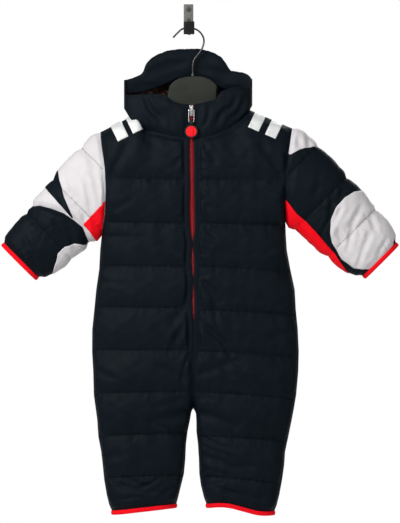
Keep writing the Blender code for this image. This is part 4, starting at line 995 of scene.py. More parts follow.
def sleeve_panel(side, rows, lift, tube):
    """Grids of a panel sewn on a sleeve. Its edge turns down to the sleeve."""
    first_w, last_w = rows[0][0], rows[-1][0]
    inside = [j for j, column in enumerate(tube["columns"])
              if first_w - 1e-6 <= column[0] <= last_w + 1e-6]
    count = len(tube["columns"])
    if first_w < 0.5:
        inside = sorted(inside, key=lambda j: j if j <= count // 2 else j - count)
    outer = np.zeros((PANEL_ROWS + 1, len(inside), 3))
    inward = np.zeros_like(outer)
    for i, column in enumerate(inside):
        w = tube["columns"][column][0]
        us = tube["u"][:, column]
        start = max(table(rows, 1, w), us[0] + PANEL_MARGINS[0])
        end = max(min(table(rows, 2, w), us[-1] - PANEL_MARGINS[1]), start + 1.0)
        for k, u in enumerate(ring_places(side, start, end, PANEL_ROWS)):
            outer[k, i], inward[k, i] = along_column(tube, column, u)
    along = np.arange(PANEL_ROWS + 1)[:, None]
    across = np.arange(len(inside))[None, :]
    edge = np.minimum(np.minimum(along, PANEL_ROWS - along) / 2.0,
                      np.minimum(across, len(inside) - 1 - across) / 2.0)
    stand = lift + PANEL_WALL * (0.35 + 0.65 * smooth_step(edge))
    return outer - inward * stand[..., None], outer - inward * lift


# Hood


def collar_panel(side):
    """The side of the hood that closes in front, on the neck edge of the front panel."""
    front = lofted(side, "front")
    sign = SIGN[side]
    neck = NECK_EDGE[side][-1]
    columns = range(INNER_COLUMNS + 1)
    shares = panel_columns() / NECK_COLUMN
    rows = np.linspace(0.0, 1.0, COLLAR_ROWS + 1)
    grid = np.zeros((len(rows), len(columns), 3))
    inward = np.zeros_like(grid)
    off_zip = np.zeros(grid.shape[:2])
    off_side = np.zeros(grid.shape[:2])
    tall = MOUTH_EDGE[side][-1][1] - neck[1]
    for i, up in enumerate(rows):
        wide = mix(neck[0], HOOD_WIDTH[side], smooth_step(up * tall / HOOD_FLARE))
        deep = mix(NECK_DEPTH["front"], COLLAR_DEPTH, up)
        for j in columns:
            t = shares[j]
            low = front["seam"][0, j]
            z = mix(low[2] - SEAM_LAP, table(MOUTH_EDGE[side], 1, t * HOOD_WIDTH[side]), up)
            x = max(t * wide, inner_x(side, "front", z))
            y = max(deep * math.sqrt(max(1.0 - (x / wide) ** 2, 0.0)), -HALF_LAP)
            grid[i, j] = (sign * x, -y, z)
            if i == 0:
                grid[i, j] = low - (0.0, 0.0, SEAM_LAP)
            inward[i, j] = unit((-sign * x / wide ** 2, y / deep ** 2, 0.0))
            off_zip[i, j] = x - ZIP_BAND
            off_side[i, j] = wide - x
    inward[0] = front["inward"][0, columns]
    inward[1] = unit(inward[0] + inward[1])
    inward[:, 0] = (0.0, 1.0, 0.0)
    inward[:, -1] = (-sign, 0.0, 0.0)
    up = rows[:, None] + np.zeros(grid.shape[:2])
    x = sign * grid[..., 0]
    z = grid[..., 2]
    height = HOOD_PUFF * channel_height(up) - creases("collar", side, x, z)
    height -= dents(x, z * 1.4, 0.6, 40.0, 91 + len(side))
    height -= puckers(x, up * COLLAR_TALL, 0.0, 125.0, 92, 8.0, 9.0)
    height -= puckers(x, (1.0 - up) * COLLAR_TALL, 0.0, 125.0, 93, 8.0, 7.0)
    ends = smooth_step(up * 8.0) * smooth_step((1.0 - up) * 8.0)
    edge = smooth_step(off_zip / SEAM_FADE) * smooth_step(off_side / SEAM_FADE)
    relief = np.maximum(height + 0.5, -0.4) * ends * edge
    return {"outer": grid - inward * relief[..., None], "inner": grid + inward * WALL}


def hood_back():
    """The back of the hood, from the neck edge of the back panels over its rim."""
    shared = panel_columns()[:INNER_COLUMNS + 1] / NECK_COLUMN
    finer = np.interp(np.arange(0.0, INNER_COLUMNS + 0.1, 0.5), np.arange(len(shared)), shared)
    parts = np.concatenate([-finer[:0:-1], finer])
    rows = smooth_rows(HOOD_ROWS, HOOD_STEPS)
    places = np.arange(len(rows)) / HOOD_STEPS
    grid = np.zeros((len(rows), len(parts), 3))
    low_inward = np.zeros((len(parts), 3))
    for j, at in enumerate(parts):
        side = "right" if at < 0.0 else "left"
        panel = lofted(side, "back")
        low, low_inward[j] = (between(abs(at), shared, panel[key][0, :len(shared)])
                              for key in ("seam", "inward"))
        bulge = superellipse(at)
        rim_x = abs(at) * HOOD_WIDTH[side] * SIGN[side]
        rim_z, lip_z = smooth_rim(rim_x), table(HOOD_LIP, 1, rim_x)
        for i, (up, deep, side_deep, drop) in enumerate(rows):
            z = mix(low[2] - SEAM_LAP, rim_z, min(up, 1.0)) - drop * (rim_z - lip_z)
            x = mix(low[0], rim_x, smooth_step((z - low[2]) / HOOD_FLARE))
            x *= 1.0 - LIP_NARROWING * max(drop, 0.0)
            grid[i, j] = (x, mix(side_deep, deep, bulge), z)
        lap = SEAM_LAP + 1.3 * max(1.0 - abs(at) / 0.05, 0.0)
        grid[0, j] = low - (0.0, 0.0, lap)
    inward = -grid_normals(grid, np.array([0.0, 1.0, 0.0]))
    inward[0] = low_inward
    inward[1:, 0] = (1.0, 0.0, 0.0)
    inward[1:, -1] = (-1.0, 0.0, 0.0)
    at = places[:, None] + np.zeros(grid.shape[:2])
    across = np.abs(parts)[None, :] + np.zeros(grid.shape[:2])
    x, z = grid[..., 0], grid[..., 2]
    back = channel_height(np.minimum(at / HOOD_RIM_ROW, 1.0))
    crown = channel_height(np.clip(at - HOOD_RIM_ROW, 0.0, 4.0) / 4.0)
    height = HOOD_PUFF * (0.7 * back + 0.3 * crown)
    height -= np.where(x < 0.0, creases("hood", "right", -x, z), creases("hood", "left", x, z))
    height -= dents(x, z + at * 3.0, 0.6, 44.0, 95)
    for away, seed in ((np.abs(at - HOOD_RIM_ROW), 96), (at, 97)):
        height -= puckers(x + 130.0, away * 14.0, 0.0, 260.0, seed, 8.0, 9.0)
    ends = smooth_step(at / 0.7) * smooth_step((at[-1:] - at) / 0.6)
    relief = np.maximum(height + 0.4, -0.4) * smooth_step((1.0 - across) / 0.2) * ends
    return {"outer": grid - inward * relief[..., None], "inner": grid + inward * WALL,
            "rows": places}


def smooth_rows(rows, steps):
    """Rows on smooth curves through the rows of a table, this many to each of its steps."""
    rows = np.asarray(rows, float)
    slope = np.gradient(rows, axis=0)
    at = np.arange(steps * (len(rows) - 1) + 1) / steps
    place = np.minimum(at.astype(int), len(rows) - 2)
    t = (at - place)[:, None]
    return (rows[place] * (2 * t ** 3 - 3 * t ** 2 + 1)
            + rows[place + 1] * (3 * t ** 2 - 2 * t ** 3)
            + slope[place] * (t ** 3 - 2 * t ** 2 + t) + slope[place + 1] * (t ** 3 - t ** 2))


def smooth_rim(x):
    """Height of the hood's rim, with its corners softened."""
    total = 0.0
    for off, weight in ((-3.0, 0.15), (-1.5, 0.22), (0.0, 0.26), (1.5, 0.22), (3.0, 0.15)):
        total += weight * table(HOOD_RIM, 1, x + off)
    return total


LOFTED = {}


def lofted(side, part):
    """A body panel or a sleeve, worked out once for each set of sizes."""
    now = sizes()
    key = (side, part, now.front_puff, now.back_puff, now.sleeve_puff, now.crease_depth,
           now.pucker_depth)
    if key not in LOFTED:
        make = body_panel if part in FACING else sleeve_tube
        LOFTED[key] = make(side, part)
    return LOFTED[key]


# Meshes


def placed(points):
    """Points of the garment's frame in the part's frame, in metres."""
    shift = np.array([-HOOK_X, SEAM_PLANE_Y, 0.0])
    return (np.asarray(points, float).reshape(-1, 3) + shift) * MM


def belong(obj, replaced=None, body="suit"):
    """Links the piece to its body, and hides the solid that it stands for."""
    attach(obj, body)
    if replaced:
        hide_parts(replaced)


def finish_piece(obj, replaced=None):
    """Smooths a piece of the suit and links it."""
    for polygon in obj.data.polygons:
        polygon.use_smooth = True
    belong(obj, replaced)


def add_object(name, data):
    obj = bpy.data.objects.new(name, data)
    bpy.context.scene.collection.objects.link(obj)
    return obj


def mesh_object(name, points, faces, *materials):
    """A new object with this mesh, in metres in the part's frame."""
    mesh = bpy.data.meshes.new(name)
    mesh.from_pydata(points.tolist(), [], faces)
    for material in materials:
        mesh.materials.append(material)
    mesh.update()
    return add_object(name, mesh)


def face_grid(rows, columns, wrap=False):
    """Numbers of a grid's points, with the first column again if it wraps, and its faces."""
    numbers = np.arange(rows * columns).reshape(rows, columns)
    if wrap:
        numbers = np.hstack([numbers, numbers[:, :1]])
    faces = np.stack([numbers[:-1, :-1], numbers[:-1, 1:], numbers[1:, 1:], numbers[1:, :-1]],
                     axis=-1).reshape(-1, 4)
    return numbers, faces


def cloth_piece(name, outer, inner, cloth, lining, wrap=False, kind="cloth"):
    """A closed cloth wall between two grids of points, in place of the solid of this name."""
    points = placed(np.concatenate([outer.reshape(-1, 3), inner.reshape(-1, 3)]))
    half = len(points) // 2
    numbers, out_faces = face_grid(*outer.shape[:2], wrap)
    rims = [(numbers[0, 1:], numbers[0, :-1]), (numbers[-1, :-1], numbers[-1, 1:])]
    if not wrap:
        rims += [(numbers[:-1, 0], numbers[1:, 0]), (numbers[1:, -1], numbers[:-1, -1])]
    faces = [out_faces, out_faces[:, [0, 3, 2, 1]] + half]
    faces += [np.stack([one, two, half + two, half + one], axis=1) for one, two in rims]
    faces = np.concatenate(faces)
    centre = points.mean(axis=0)
    corner = [points[faces[:, k]] - centre for k in range(4)]
    volume = (np.cross(corner[1], corner[2]) * corner[0]).sum()
    volume += (np.cross(corner[2], corner[3]) * corner[0]).sum()
    if volume < 0.0:
        faces = faces[:, ::-1]
    obj = mesh_object(f"{name}_{kind}", points, faces.tolist(), cloth, lining)
    mesh = obj.data
    indices = np.zeros(len(faces), np.int32)
    indices[len(out_faces):len(out_faces) * 2] = 1
    mesh.polygons.foreach_set("material_index", indices)
    map_in_metres(mesh, outer)
    # The edges that join the outer face to the inner one turn sharply.
    ends = np.empty(len(mesh.edges) * 2, np.int32)
    mesh.edges.foreach_get("vertices", ends)
    sharp = (ends[::2] < half) != (ends[1::2] < half)
    mesh.attributes.new("sharp_edge", "BOOLEAN", "EDGE").data.foreach_set("value", sharp)
    finish_piece(obj, name)


def map_in_metres(mesh, outer):
    """A map of both faces of a cloth wall, in metres along its grid."""
    down = np.linalg.norm(np.diff(outer, axis=0), axis=2).mean(axis=1)
    across = np.linalg.norm(np.diff(outer, axis=1), axis=2).mean(axis=0)
    u, v = (np.append(0.0, np.cumsum(steps)) * MM for steps in (across, down))
    grid_uv = np.stack(np.meshgrid(u, v), axis=-1).reshape(-1, 2)
    loops = np.empty(len(mesh.loops), np.int32)
    mesh.loops.foreach_get("vertex_index", loops)
    both = np.concatenate([grid_uv, grid_uv])
    mesh.uv_layers.new(name="UVMap").data.foreach_set("uv", both[loops].ravel())


def stitches(name, runs, radius, thread, slot):
    """Rows of short raised stitches. A run is points and the directions that they stand out in."""
    length = sizes().stitch_length / MM
    points, faces = [], []
    for path, out in runs:
        path, out = np.asarray(path, float), unit(out)
        run = run_along(path)
        for start in np.arange(0.0, run[-1] - length, length + STITCH_GAP):
            ends = between(start + length * np.array([0.0, 0.5, 1.0]), run, path)
            normal = unit(between(start, run, out))
            side = np.cross(unit(ends[2] - ends[0]), normal)
            base = len(points)
            middle = ends[1] + normal * radius * 1.2
            points += [ends[0] - normal * radius * 0.5, middle + side * radius,
                       middle + normal * radius * 0.9, middle - side * radius,
                       ends[2] - normal * radius * 0.5, middle - normal * radius * 2.0]
            for one, two in ((1, 2), (2, 3), (3, 5), (5, 1)):
                faces += [(base, base + two, base + one), (base + 4, base + one, base + two)]
    finish_piece(mesh_object(f"stitching_{name}", placed(points), faces, thread))


def surface_tree(outer):
    """A tree of a grid's faces, for finding points on them."""
    faces = face_grid(*outer.shape[:2])[1]
    return BVHTree.FromPolygons(outer.reshape(-1, 3).tolist(), faces.tolist())


def select_only(obj=None):
    for other in bpy.context.selected_objects:
        other.select_set(False)
    if obj:
        obj.select_set(True)
        bpy.context.view_layer.objects.active = obj


# Materials


def feed(tree, node, inputs):
    """Sets a node's inputs to values, or links them to sockets."""
    for key, value in inputs.items():
        if isinstance(value, bpy.types.NodeSocket):
            tree.links.new(value, node.inputs[key])
        else:
            node.inputs[key].default_value = value
    return node


def add_node(tree, kind, inputs=None, **settings):
    """A node with its settings, and its inputs set to values or linked to sockets."""
    made = tree.nodes.new(kind)
    for key, value in settings.items():
        setattr(made, key, value)
    return feed(tree, made, inputs or {})


def noise(tree, vector, scale, detail=2.0, roughness=0.5, distortion=0.0):
    """The value of a noise texture."""
    return add_node(tree, "ShaderNodeTexNoise", {
        "Vector": vector, "Scale": scale, "Detail": detail, "Roughness": roughness,
        "Distortion": distortion}).outputs["Fac"]


def ranged(tree, value, low, high, to_low=0.0, to_high=1.0):
    """A value spread from one range to another, and held at its ends."""
    return add_node(tree, "ShaderNodeMapRange", {
        "Value": value, "From Min": low, "From Max": high, "To Min": to_low,
        "To Max": to_high}).outputs[0]


def bumps(tree, layers):
    """The normal of several layers of bump: strength, distance and height of each."""
    normal = {}
    for strength, distance, height in layers:
        made = add_node(tree, "ShaderNodeBump", {
            "Strength": strength, "Distance": distance, "Height": height, **normal})
        normal = {"Normal": made.outputs[0]}
    return normal["Normal"]


def reused(make):
    """Returns the material or node group of this name, which is made at the first call."""
    @functools.wraps(make)
    def found_or_made(name, *values, **settings):
        found = bpy.data.materials.get(name) or bpy.data.node_groups.get(name)
        return found or make(name, *values, **settings)
    return found_or_made


def new_group(name, inputs):
    """A shader node group with a vector and named numbers: its tree, inputs and vector."""
    group = bpy.data.node_groups.new(name, "ShaderNodeTree")
    group.interface.new_socket("Vector", in_out="INPUT", socket_type="NodeSocketVector")
    for label, default in inputs.items():
        socket = group.interface.new_socket(label, in_out="INPUT", socket_type="NodeSocketFloat")
        socket.default_value = default
    start = group.nodes.new("NodeGroupInput").outputs
    return group, start, start["Vector"]


def give(group, results):
    """Sends sockets out of a node group under these names."""
    for label in results:
        group.interface.new_socket(label, in_out="OUTPUT", socket_type="NodeSocketFloat")
    feed(group, group.nodes.new("NodeGroupOutput"), results)
    return group


def math_node(tree, operation, first, second):
    return add_node(tree, "ShaderNodeMath", {0: first, 1: second}, operation=operation).outputs[0]


@reused
def weave_group(name):
    """Plain weave: Height stands for the crossing threads, and Shade for the gaps between them."""
    group, start, vector = new_group(name, {"Thread scale": 600.0, "Unevenness": 0.4})
    across, along = (add_node(group, "ShaderNodeTexWave", {
        "Vector": vector, "Scale": start["Thread scale"], "Distortion": start["Unevenness"],
        "Detail": 1.0, "Detail Scale": 0.35,
    }, wave_type="BANDS", bands_direction=direction, wave_profile="SIN").outputs["Fac"]
        for direction in "XY")
    total = math_node(group, "ADD", across, along)
    product = math_node(group, "MULTIPLY", across, along)
    return give(group, {"Height": math_node(group, "MULTIPLY", total, 0.5),
                        "Shade": math_node(group, "POWER", product, 0.35)})


@reused
def handling_group(name):
    """Soft unevenness of handled cloth: Tone is broad mottling, Crinkle small creases."""
    group, start, vector = new_group(name, {"Mottle scale": 14.0, "Crinkle scale": 90.0})
    mottle = noise(group, vector, start["Mottle scale"], 4.0, 0.55, 0.4)
    return give(group, {
        "Tone": ranged(group, mottle, 0.28, 0.72),
        "Crinkle": noise(group, vector, start["Crinkle scale"], 3.0, 0.6, 1.1),
        "Lint": ranged(group, noise(group, vector, 900.0, 1.0), 0.73, 0.80)})


@reused
def wear_group(name):
    """Small marks on hard parts: Marks are fine scratches and Film is dust and finger marks."""
    group, start, vector = new_group(name, {"Scale": 1.0})
    sized = add_node(group, "ShaderNodeVectorMath", {0: vector, "Scale": start["Scale"]},
                     operation="SCALE").outputs[0]
    stretched = add_node(group, "ShaderNodeMapping", {
        "Vector": sized, "Scale": (1.0, 0.3, 0.08)}).outputs[0]
    return give(group, {"Marks": noise(group, stretched, 900.0, 2.0, 0.7),
                        "Film": noise(group, sized, 60.0, 5.0, 0.62),
                        "Grain": noise(group, sized, 1600.0)})


def blank_material(name):
    made = bpy.data.materials.new(name)
    made.use_nodes = True
    tree = made.node_tree
    return made, tree, tree.nodes["Principled BSDF"]


def place_group(tree, make, name, inputs):
    return add_node(tree, "ShaderNodeGroup", inputs, node_tree=make(name)).outputs


def uv_of(tree):
    return add_node(tree, "ShaderNodeTexCoord").outputs["UV"]


def blend_colours(tree, part, first, second):
    return add_node(tree, "ShaderNodeMix", {"Factor": part, 6: first, 7: second},
                    data_type="RGBA").outputs[2]


def tinted(colour, factor):
    return tuple(min(max(channel * factor, 0.0), 1.0) for channel in colour[:3]) + (1.0,)


@reused
def cloth_material(name, colour, thread=0.00055, roughness=(0.46, 0.62), sheen=0.0,
                   weave_bump=0.25, crinkle_bump=0.35, spread=0.16, gloss=0.3):
    """Woven cloth: threads, broad mottling and small creases."""
    made, tree, shader = blank_material(name)
    uv = uv_of(tree)
    weave = place_group(tree, weave_group, "woven_threads", {
        "Vector": uv, "Thread scale": 0.314 / thread, "Unevenness": 0.5})
    handled = place_group(tree, handling_group, "handled_cloth", {"Vector": uv})
    base = blend_colours(tree, handled["Tone"], tinted(colour, 1.0 - spread),
                         tinted(colour, 1.0 + spread))
    gaps = math_node(tree, "MULTIPLY", math_node(tree, "SUBTRACT", 1.0, weave["Shade"]), 0.35)
    base = blend_colours(tree, gaps, base, tinted(colour, 0.45))
    lint = math_node(tree, "MULTIPLY", handled["Lint"], 0.10)
    feed(tree, shader, {
        "Base Color": blend_colours(tree, lint, base, (0.5, 0.5, 0.5, 1.0)),
        "Roughness": ranged(tree, handled["Tone"], 0.0, 1.0, *roughness),
        "Normal": bumps(tree, ((crinkle_bump, 0.0015, handled["Crinkle"]),
                               (weave_bump, 0.0003, weave["Height"]))),
        "Sheen Weight": sheen, "Sheen Roughness": 0.4, "Specular IOR Level": gloss})
    made.diffuse_color = tinted(colour, 1.0)
    return made


@reused
def fleece_material(name, dark, light):
    """Short mottled pile of the hood's lining."""
    made, tree, shader = blank_material(name)
    uv = uv_of(tree)
    blots = noise(tree, uv, 150.0, 3.0, 0.6, 0.8)
    pile = noise(tree, uv, 900.0, 3.0, 0.7)
    base = blend_colours(tree, ranged(tree, blots, 0.50, 0.68), (*dark, 1.0), (*light, 1.0))
    shade = math_node(tree, "MULTIPLY", pile, 0.5)
    feed(tree, shader, {
        "Base Color": blend_colours(tree, shade, base, tinted(dark, 0.5)),
        "Normal": bumps(tree, ((0.8, 0.0012, pile),)),
        "Roughness": 0.85, "Sheen Weight": 0.08, "Specular IOR Level": 0.1})
    return made


@reused
def silver_material(name, colour):
    """Reflective tape: tiny glass beads on a silver film, with soft scuffs."""
    made, tree, shader = blank_material(name)
    uv = uv_of(tree)
    handled = place_group(tree, handling_group, "handled_cloth", {
        "Vector": uv, "Mottle scale": 60.0, "Crinkle scale": 160.0})
    beads = add_node(tree, "ShaderNodeTexVoronoi", {"Vector": uv, "Scale": 2200.0})
    beads = beads.outputs["Distance"]
    base = blend_colours(tree, handled["Tone"], tinted(colour, 0.80), tinted(colour, 1.06))
    seen = math_node(tree, "MULTIPLY", beads, 0.22)
    feed(tree, shader, {
        "Base Color": blend_colours(tree, seen, base, tinted(colour, 0.55)),
        "Roughness": ranged(tree, handled["Tone"], 0.0, 1.0, 0.30, 0.46),
        "Normal": bumps(tree, ((0.30, 0.001, handled["Crinkle"]), (0.25, 0.0002, beads))),
        "Metallic": 0.15})
    return made


@reused
def hard_material(name, colour, roughness, metallic=0.0, grain=0.1, marks=0.1, scale=1.0,
                  dust=0.12, gloss=0.5):
    """Metal, moulded plastic, rubber or paint with fine marks, dust and a grain."""
    made, tree, shader = blank_material(name)
    place = add_node(tree, "ShaderNodeTexCoord").outputs["Object"]
    wear = place_group(tree, wear_group, "handled_surface", {"Vector": place, "Scale": scale})
    dusty = math_node(tree, "MULTIPLY", ranged(tree, wear["Film"], 0.35, 0.75), dust)
    dull = tuple(mix(channel, 0.4, 0.35) for channel in colour[:3]) + (1.0,)
    feed(tree, shader, {
        "Base Color": blend_colours(tree, dusty, tinted(colour, 1.0), dull),
        "Roughness": ranged(tree, wear["Film"], 0.3, 0.75, *roughness),
        "Normal": bumps(tree, ((grain, 0.0003, wear["Grain"]), (marks, 0.0002, wear["Marks"]))),
        "Metallic": metallic, "Specular IOR Level": gloss})
    made.diffuse_color = tinted(colour, 1.0)
    return made


def colours():
    return bpy.context.scene.snowsuit_colours


# Each woven cloth: its colour, and what sets it apart.
CLOTHS = {
    "navy_nylon": ("navy", {"roughness": (0.46, 0.60), "gloss": 0.05}),
    "navy_inside": ("inside", {"roughness": (0.6, 0.75), "sheen": 0.05, "gloss": 0.1}),
    "grey_nylon": ("grey", {"roughness": (0.48, 0.62), "spread": 0.04, "crinkle_bump": 0.6,
                            "gloss": 0.2}),
    "red_nylon": ("red", {"roughness": (0.5, 0.65), "spread": 0.05, "gloss": 0.05}),
    "red_elastic": ("red", {"thread": 0.0009, "roughness": (0.55, 0.7), "weave_bump": 0.55,
                            "spread": 0.06, "gloss": 0.05}),
    "zip_tape_cloth": ("zip_red", {"thread": 0.0007, "roughness": (0.5, 0.65),
                                   "weave_bump": 0.45, "gloss": 0.08}),
}


# Each hard finish: its colour or that colour's name, its smoothest and roughest, and the rest.
HARD = {
    "zip_metal": ((0.80, 0.80, 0.79), (0.16, 0.34), {"metallic": 1.0, "grain": 0.04,
                                                     "marks": 0.15, "scale": 2.0}),
    "black_rubber": ((0.011, 0.011, 0.012), (0.42, 0.62), {"grain": 0.35, "dust": 0.05,
                                                           "gloss": 0.12}),
    "red_grip": ((0.92, 0.010, 0.018), (0.36, 0.55), {"grain": 0.25, "dust": 0.02,
                                                      "gloss": 0.15}),
    "moulded_plastic": ("hanger", (0.42, 0.62), {"grain": 0.5, "marks": 0.2, "dust": 0.06,
                                                 "gloss": 0.15}),
    "dark_steel": ((0.055, 0.055, 0.055), (0.28, 0.42), {"metallic": 1.0, "marks": 0.3}),
    "plate_steel": ((0.115, 0.115, 0.105), (0.34, 0.5), {"grain": 0.2, "marks": 0.5,
                                                         "dust": 0.25, "gloss": 0.4}),
    "black_paint": ((0.006, 0.006, 0.006), (0.30, 0.45), {"grain": 0.15, "marks": 0.12,
                                                          "dust": 0.06, "gloss": 0.15}),
    "screw_steel": ((0.045, 0.045, 0.040), (0.3, 0.45), {"marks": 0.3}),
    "tape_backing": ((0.3, 0.3, 0.3), (0.6, 0.7), {}),
}


def woven(name):
    colour, looks = CLOTHS[name]
    return cloth_material(name, getattr(colours(), colour), **looks)


def hard(name):
    colour, roughness, looks = HARD[name]
    if isinstance(colour, str):
        colour = getattr(colours(), colour)
    return hard_material(name, colour, roughness, **looks)


def hood_lining():
    return fleece_material("hood_lining", (0.030, 0.014, 0.014), (0.30, 0.13, 0.11))


def thread_material(name, colour):
    return hard_material(name, colour, (0.45, 0.6), grain=0.4, scale=3.0, dust=0.0, gloss=0.06)


# The user's sizes and colours


def length_property(name, description, default, highest):
    return FloatProperty(name=name, description=description, default=default, min=0.0,
                         max=highest, unit="LENGTH", subtype="DISTANCE")


def colour_property(name, description, default):
    return FloatVectorProperty(name=name, description=description, default=default, size=3,
                               min=0.0, max=1.0, subtype="COLOR")


class SnowsuitSizes(bpy.types.PropertyGroup):
    """How full the padding is and how deep its creases are."""

    front_puff: length_property(
        "Front padding", "How far the front's channels stand out", BODY_PUFF * MM, 0.02)
    back_puff: length_property(
        "Back padding", "How far the back's channels stand out", BACK_PUFF * MM, 0.02)
    sleeve_puff: length_property(
        "Sleeve padding", "How far the sleeves' channels stand out", SLEEVE_PUFF * MM, 0.02)
    crease_depth: FloatProperty(
        name="Crease depth", description="Depth of the creases, as a part of the tables' depths",
        default=1.5, min=0.0, max=3.0, subtype="FACTOR")
    pucker_depth: length_property(
        "Pucker depth", "Depth of the gathers that the stitching pulls in", 0.0016, 0.004)
    stitch_length: length_property("Stitch length", "Length of one stitch", 0.0026, 0.006)
    tooth_pitch: length_property(
        "Zip tooth pitch", "Distance from one tooth of the zip to the next", 0.0019, 0.005)
    rib_count: IntProperty(
        name="Gathers of a binding", description="Gathers round each elastic binding",
        default=64, min=8, max=200)


class SnowsuitColours(bpy.types.PropertyGroup):
    """Colours of the cloth, tape and hard parts."""

    navy: colour_property(
        "Navy cloth", "Outer cloth of body, hood and forearms", (0.0036, 0.0070, 0.0104))
    inside: colour_property(
        "Inside cloth", "Plain inside of the body and sleeves", (0.012, 0.014, 0.022))
    grey: colour_property("Grey cloth", "Pale panels of the sleeves", (0.66, 0.635, 0.65))
    red: colour_property("Red cloth", "Underarm panels and bindings", (0.96, 0.005, 0.014))
    zip_red: colour_property("Zip tape", "Tape and teeth of the zip", (0.29, 0.004, 0.008))
    silver: colour_property(
        "Reflective tape", "Stripes over the shoulders", (0.84, 0.86, 0.85))
    hanger: colour_property("Hanger", "Moulded plastic of the hanger", (0.018, 0.021, 0.016))


# Pieces


class SNOWSUIT_OT_body(bpy.types.Operator):
    """Lofts the quilted fronts and backs, each with its leg"""

    bl_idname = "snowsuit.body"
    bl_label = "Fronts and backs"

    def execute(self, context):
        for side in SIGN:
            for face in FACING:
                panel = lofted(side, face)
                cloth_piece(f"{face}_{side}", panel["outer"], panel["inner"],
                            woven("navy_nylon"), woven("navy_inside"))
        return {"FINISHED"}


class SNOWSUIT_OT_sleeves(bpy.types.Operator):
    """Lofts the quilted sleeves"""

    bl_idname = "snowsuit.sleeves"
    bl_label = "Sleeves"

    def execute(self, context):
        for name, side, part, colour in SLEEVES:
            tube = lofted(side, part)
            cloth_piece(name, tube["outer"], tube["inner"], woven(f"{colour}_nylon"),
                        woven("navy_inside"), wrap=True)
        return {"FINISHED"}


class SNOWSUIT_OT_sleeve_panels(bpy.types.Operator):
    """Lays the coloured panels on the sleeves"""

    bl_idname = "snowsuit.sleeve_panels"
    bl_label = "Sleeve panels"

    def execute(self, context):
        for name, side, colour, part, lift, rows in SLEEVE_PANELS:
            outer, inner = sleeve_panel(side, rows, PANEL_LIFT * lift, lofted(side, part))
            nylon = woven(f"{colour}_nylon")
            cloth_piece(name, outer, inner, nylon, nylon)
        return {"FINISHED"}


class SNOWSUIT_OT_hood(bpy.types.Operator):
    """Lofts the hood: its back and the two sides that close as a collar"""

    bl_idname = "snowsuit.hood"
    bl_label = "Hood and collar"

    def execute(self, context):
        for name, wall in (("hood_right", collar_panel("right")),
                           ("hood_left", collar_panel("left")), ("hood_back", hood_back())):
            cloth_piece(name, wall["outer"], wall["inner"], woven("navy_nylon"), hood_lining())
        return {"FINISHED"}


def binding_ring(ring, inward, along, name, seed):
    """A folded elastic strip round an edge, with small gathers."""
    closed = np.concatenate([ring, ring[:1]])
    run = run_along(closed)
    at = np.linspace(0.0, run[-1], 4 * sizes().rib_count, endpoint=False)
    ring = between(at, run, closed)
    inward = unit(between(at, run, np.concatenate([inward, inward[:1]])))
    along = np.asarray(along, float)[None, :]
    phase = at / run[-1] * math.tau * sizes().rib_count
    rng = np.random.default_rng(seed)
    wobble = 0.6 * np.sin(at / run[-1] * math.tau * 7 + rng.uniform(0, 6)) * 0.3
    gather = 0.34 * np.sin(phase + 1.5 * np.sin(at / run[-1] * math.tau * 5))
    outer = []
    for stand, out, ribbed in BINDING_PROFILE:
        lift = stand + ribbed * gather
        outer.append(ring - inward * lift[:, None] + along * (out + ribbed * wobble)[:, None])
    inner = [ring + inward * (BINDING_WALL - 0.4) + along * out for _, out, _ in BINDING_PROFILE]
    inner[-1] = ring + inward * (BINDING_WALL * 0.5) + along * BINDING_PROFILE[-1][1]
    elastic = woven("red_elastic")
    cloth_piece(name, np.array(outer), np.array(inner), elastic, elastic, wrap=True)


class SNOWSUIT_OT_bindings(bpy.types.Operator):
    """Folds the elastic bindings over the cuffs and leg hems"""

    bl_idname = "snowsuit.bindings"
    bl_label = "Elastic bindings"

    def execute(self, context):
        for side in SIGN:
            front, back = lofted(side, "front"), lofted(side, "back")
            ring = np.concatenate([front["outer"][-1], back["outer"][-1][::-1][1:-1]])
            inward = np.concatenate([front["inward"][-1], back["inward"][-1][::-1][1:-1]])
            binding_ring(ring, inward, (0.0, 0.0, -1.0), f"binding_hem_{side}", 5)
            tube = lofted(side, "lower" if side == "right" else "whole")
            ring, inward = tube["outer"][-1], tube["inward"][-1]
            along = np.array([SIGN[side] * ROOT_HALF, 0.0, -ROOT_HALF])
            inward = unit(inward - along * (inward @ along)[:, None])
            binding_ring(ring, inward, along, f"binding_cuff_{side}", 6)
        return {"FINISHED"}


class SNOWSUIT_OT_stripes(bpy.types.Operator):
    """Lays the reflective stripes over the shoulders"""

    bl_idname = "snowsuit.stripes"
    bl_label = "Reflective stripes"

    def execute(self, context):
        silver = silver_material("reflective_tape", colours().silver)
        backing = hard("tape_backing")
        column = np.arange(STRIPE_COLUMNS)
        edge = np.minimum(column, column[::-1])[None, :, None] / 1.5
        stand = 0.5 + 0.7 * smooth_step(edge)
        for name, side, outer_x, ridge_x in STRIPES:
            outer = stripe_grid(side, np.linspace(outer_x, ridge_x, STRIPE_COLUMNS))
            normals = grid_normals(outer, outer - outer.mean(axis=(0, 1)) + (0.0, 0.0, 40.0))
            cloth_piece(name, outer + normals * (stand + 0.4), outer + normals * 0.35, silver,
                        backing, kind="tape")
        return {"FINISHED"}


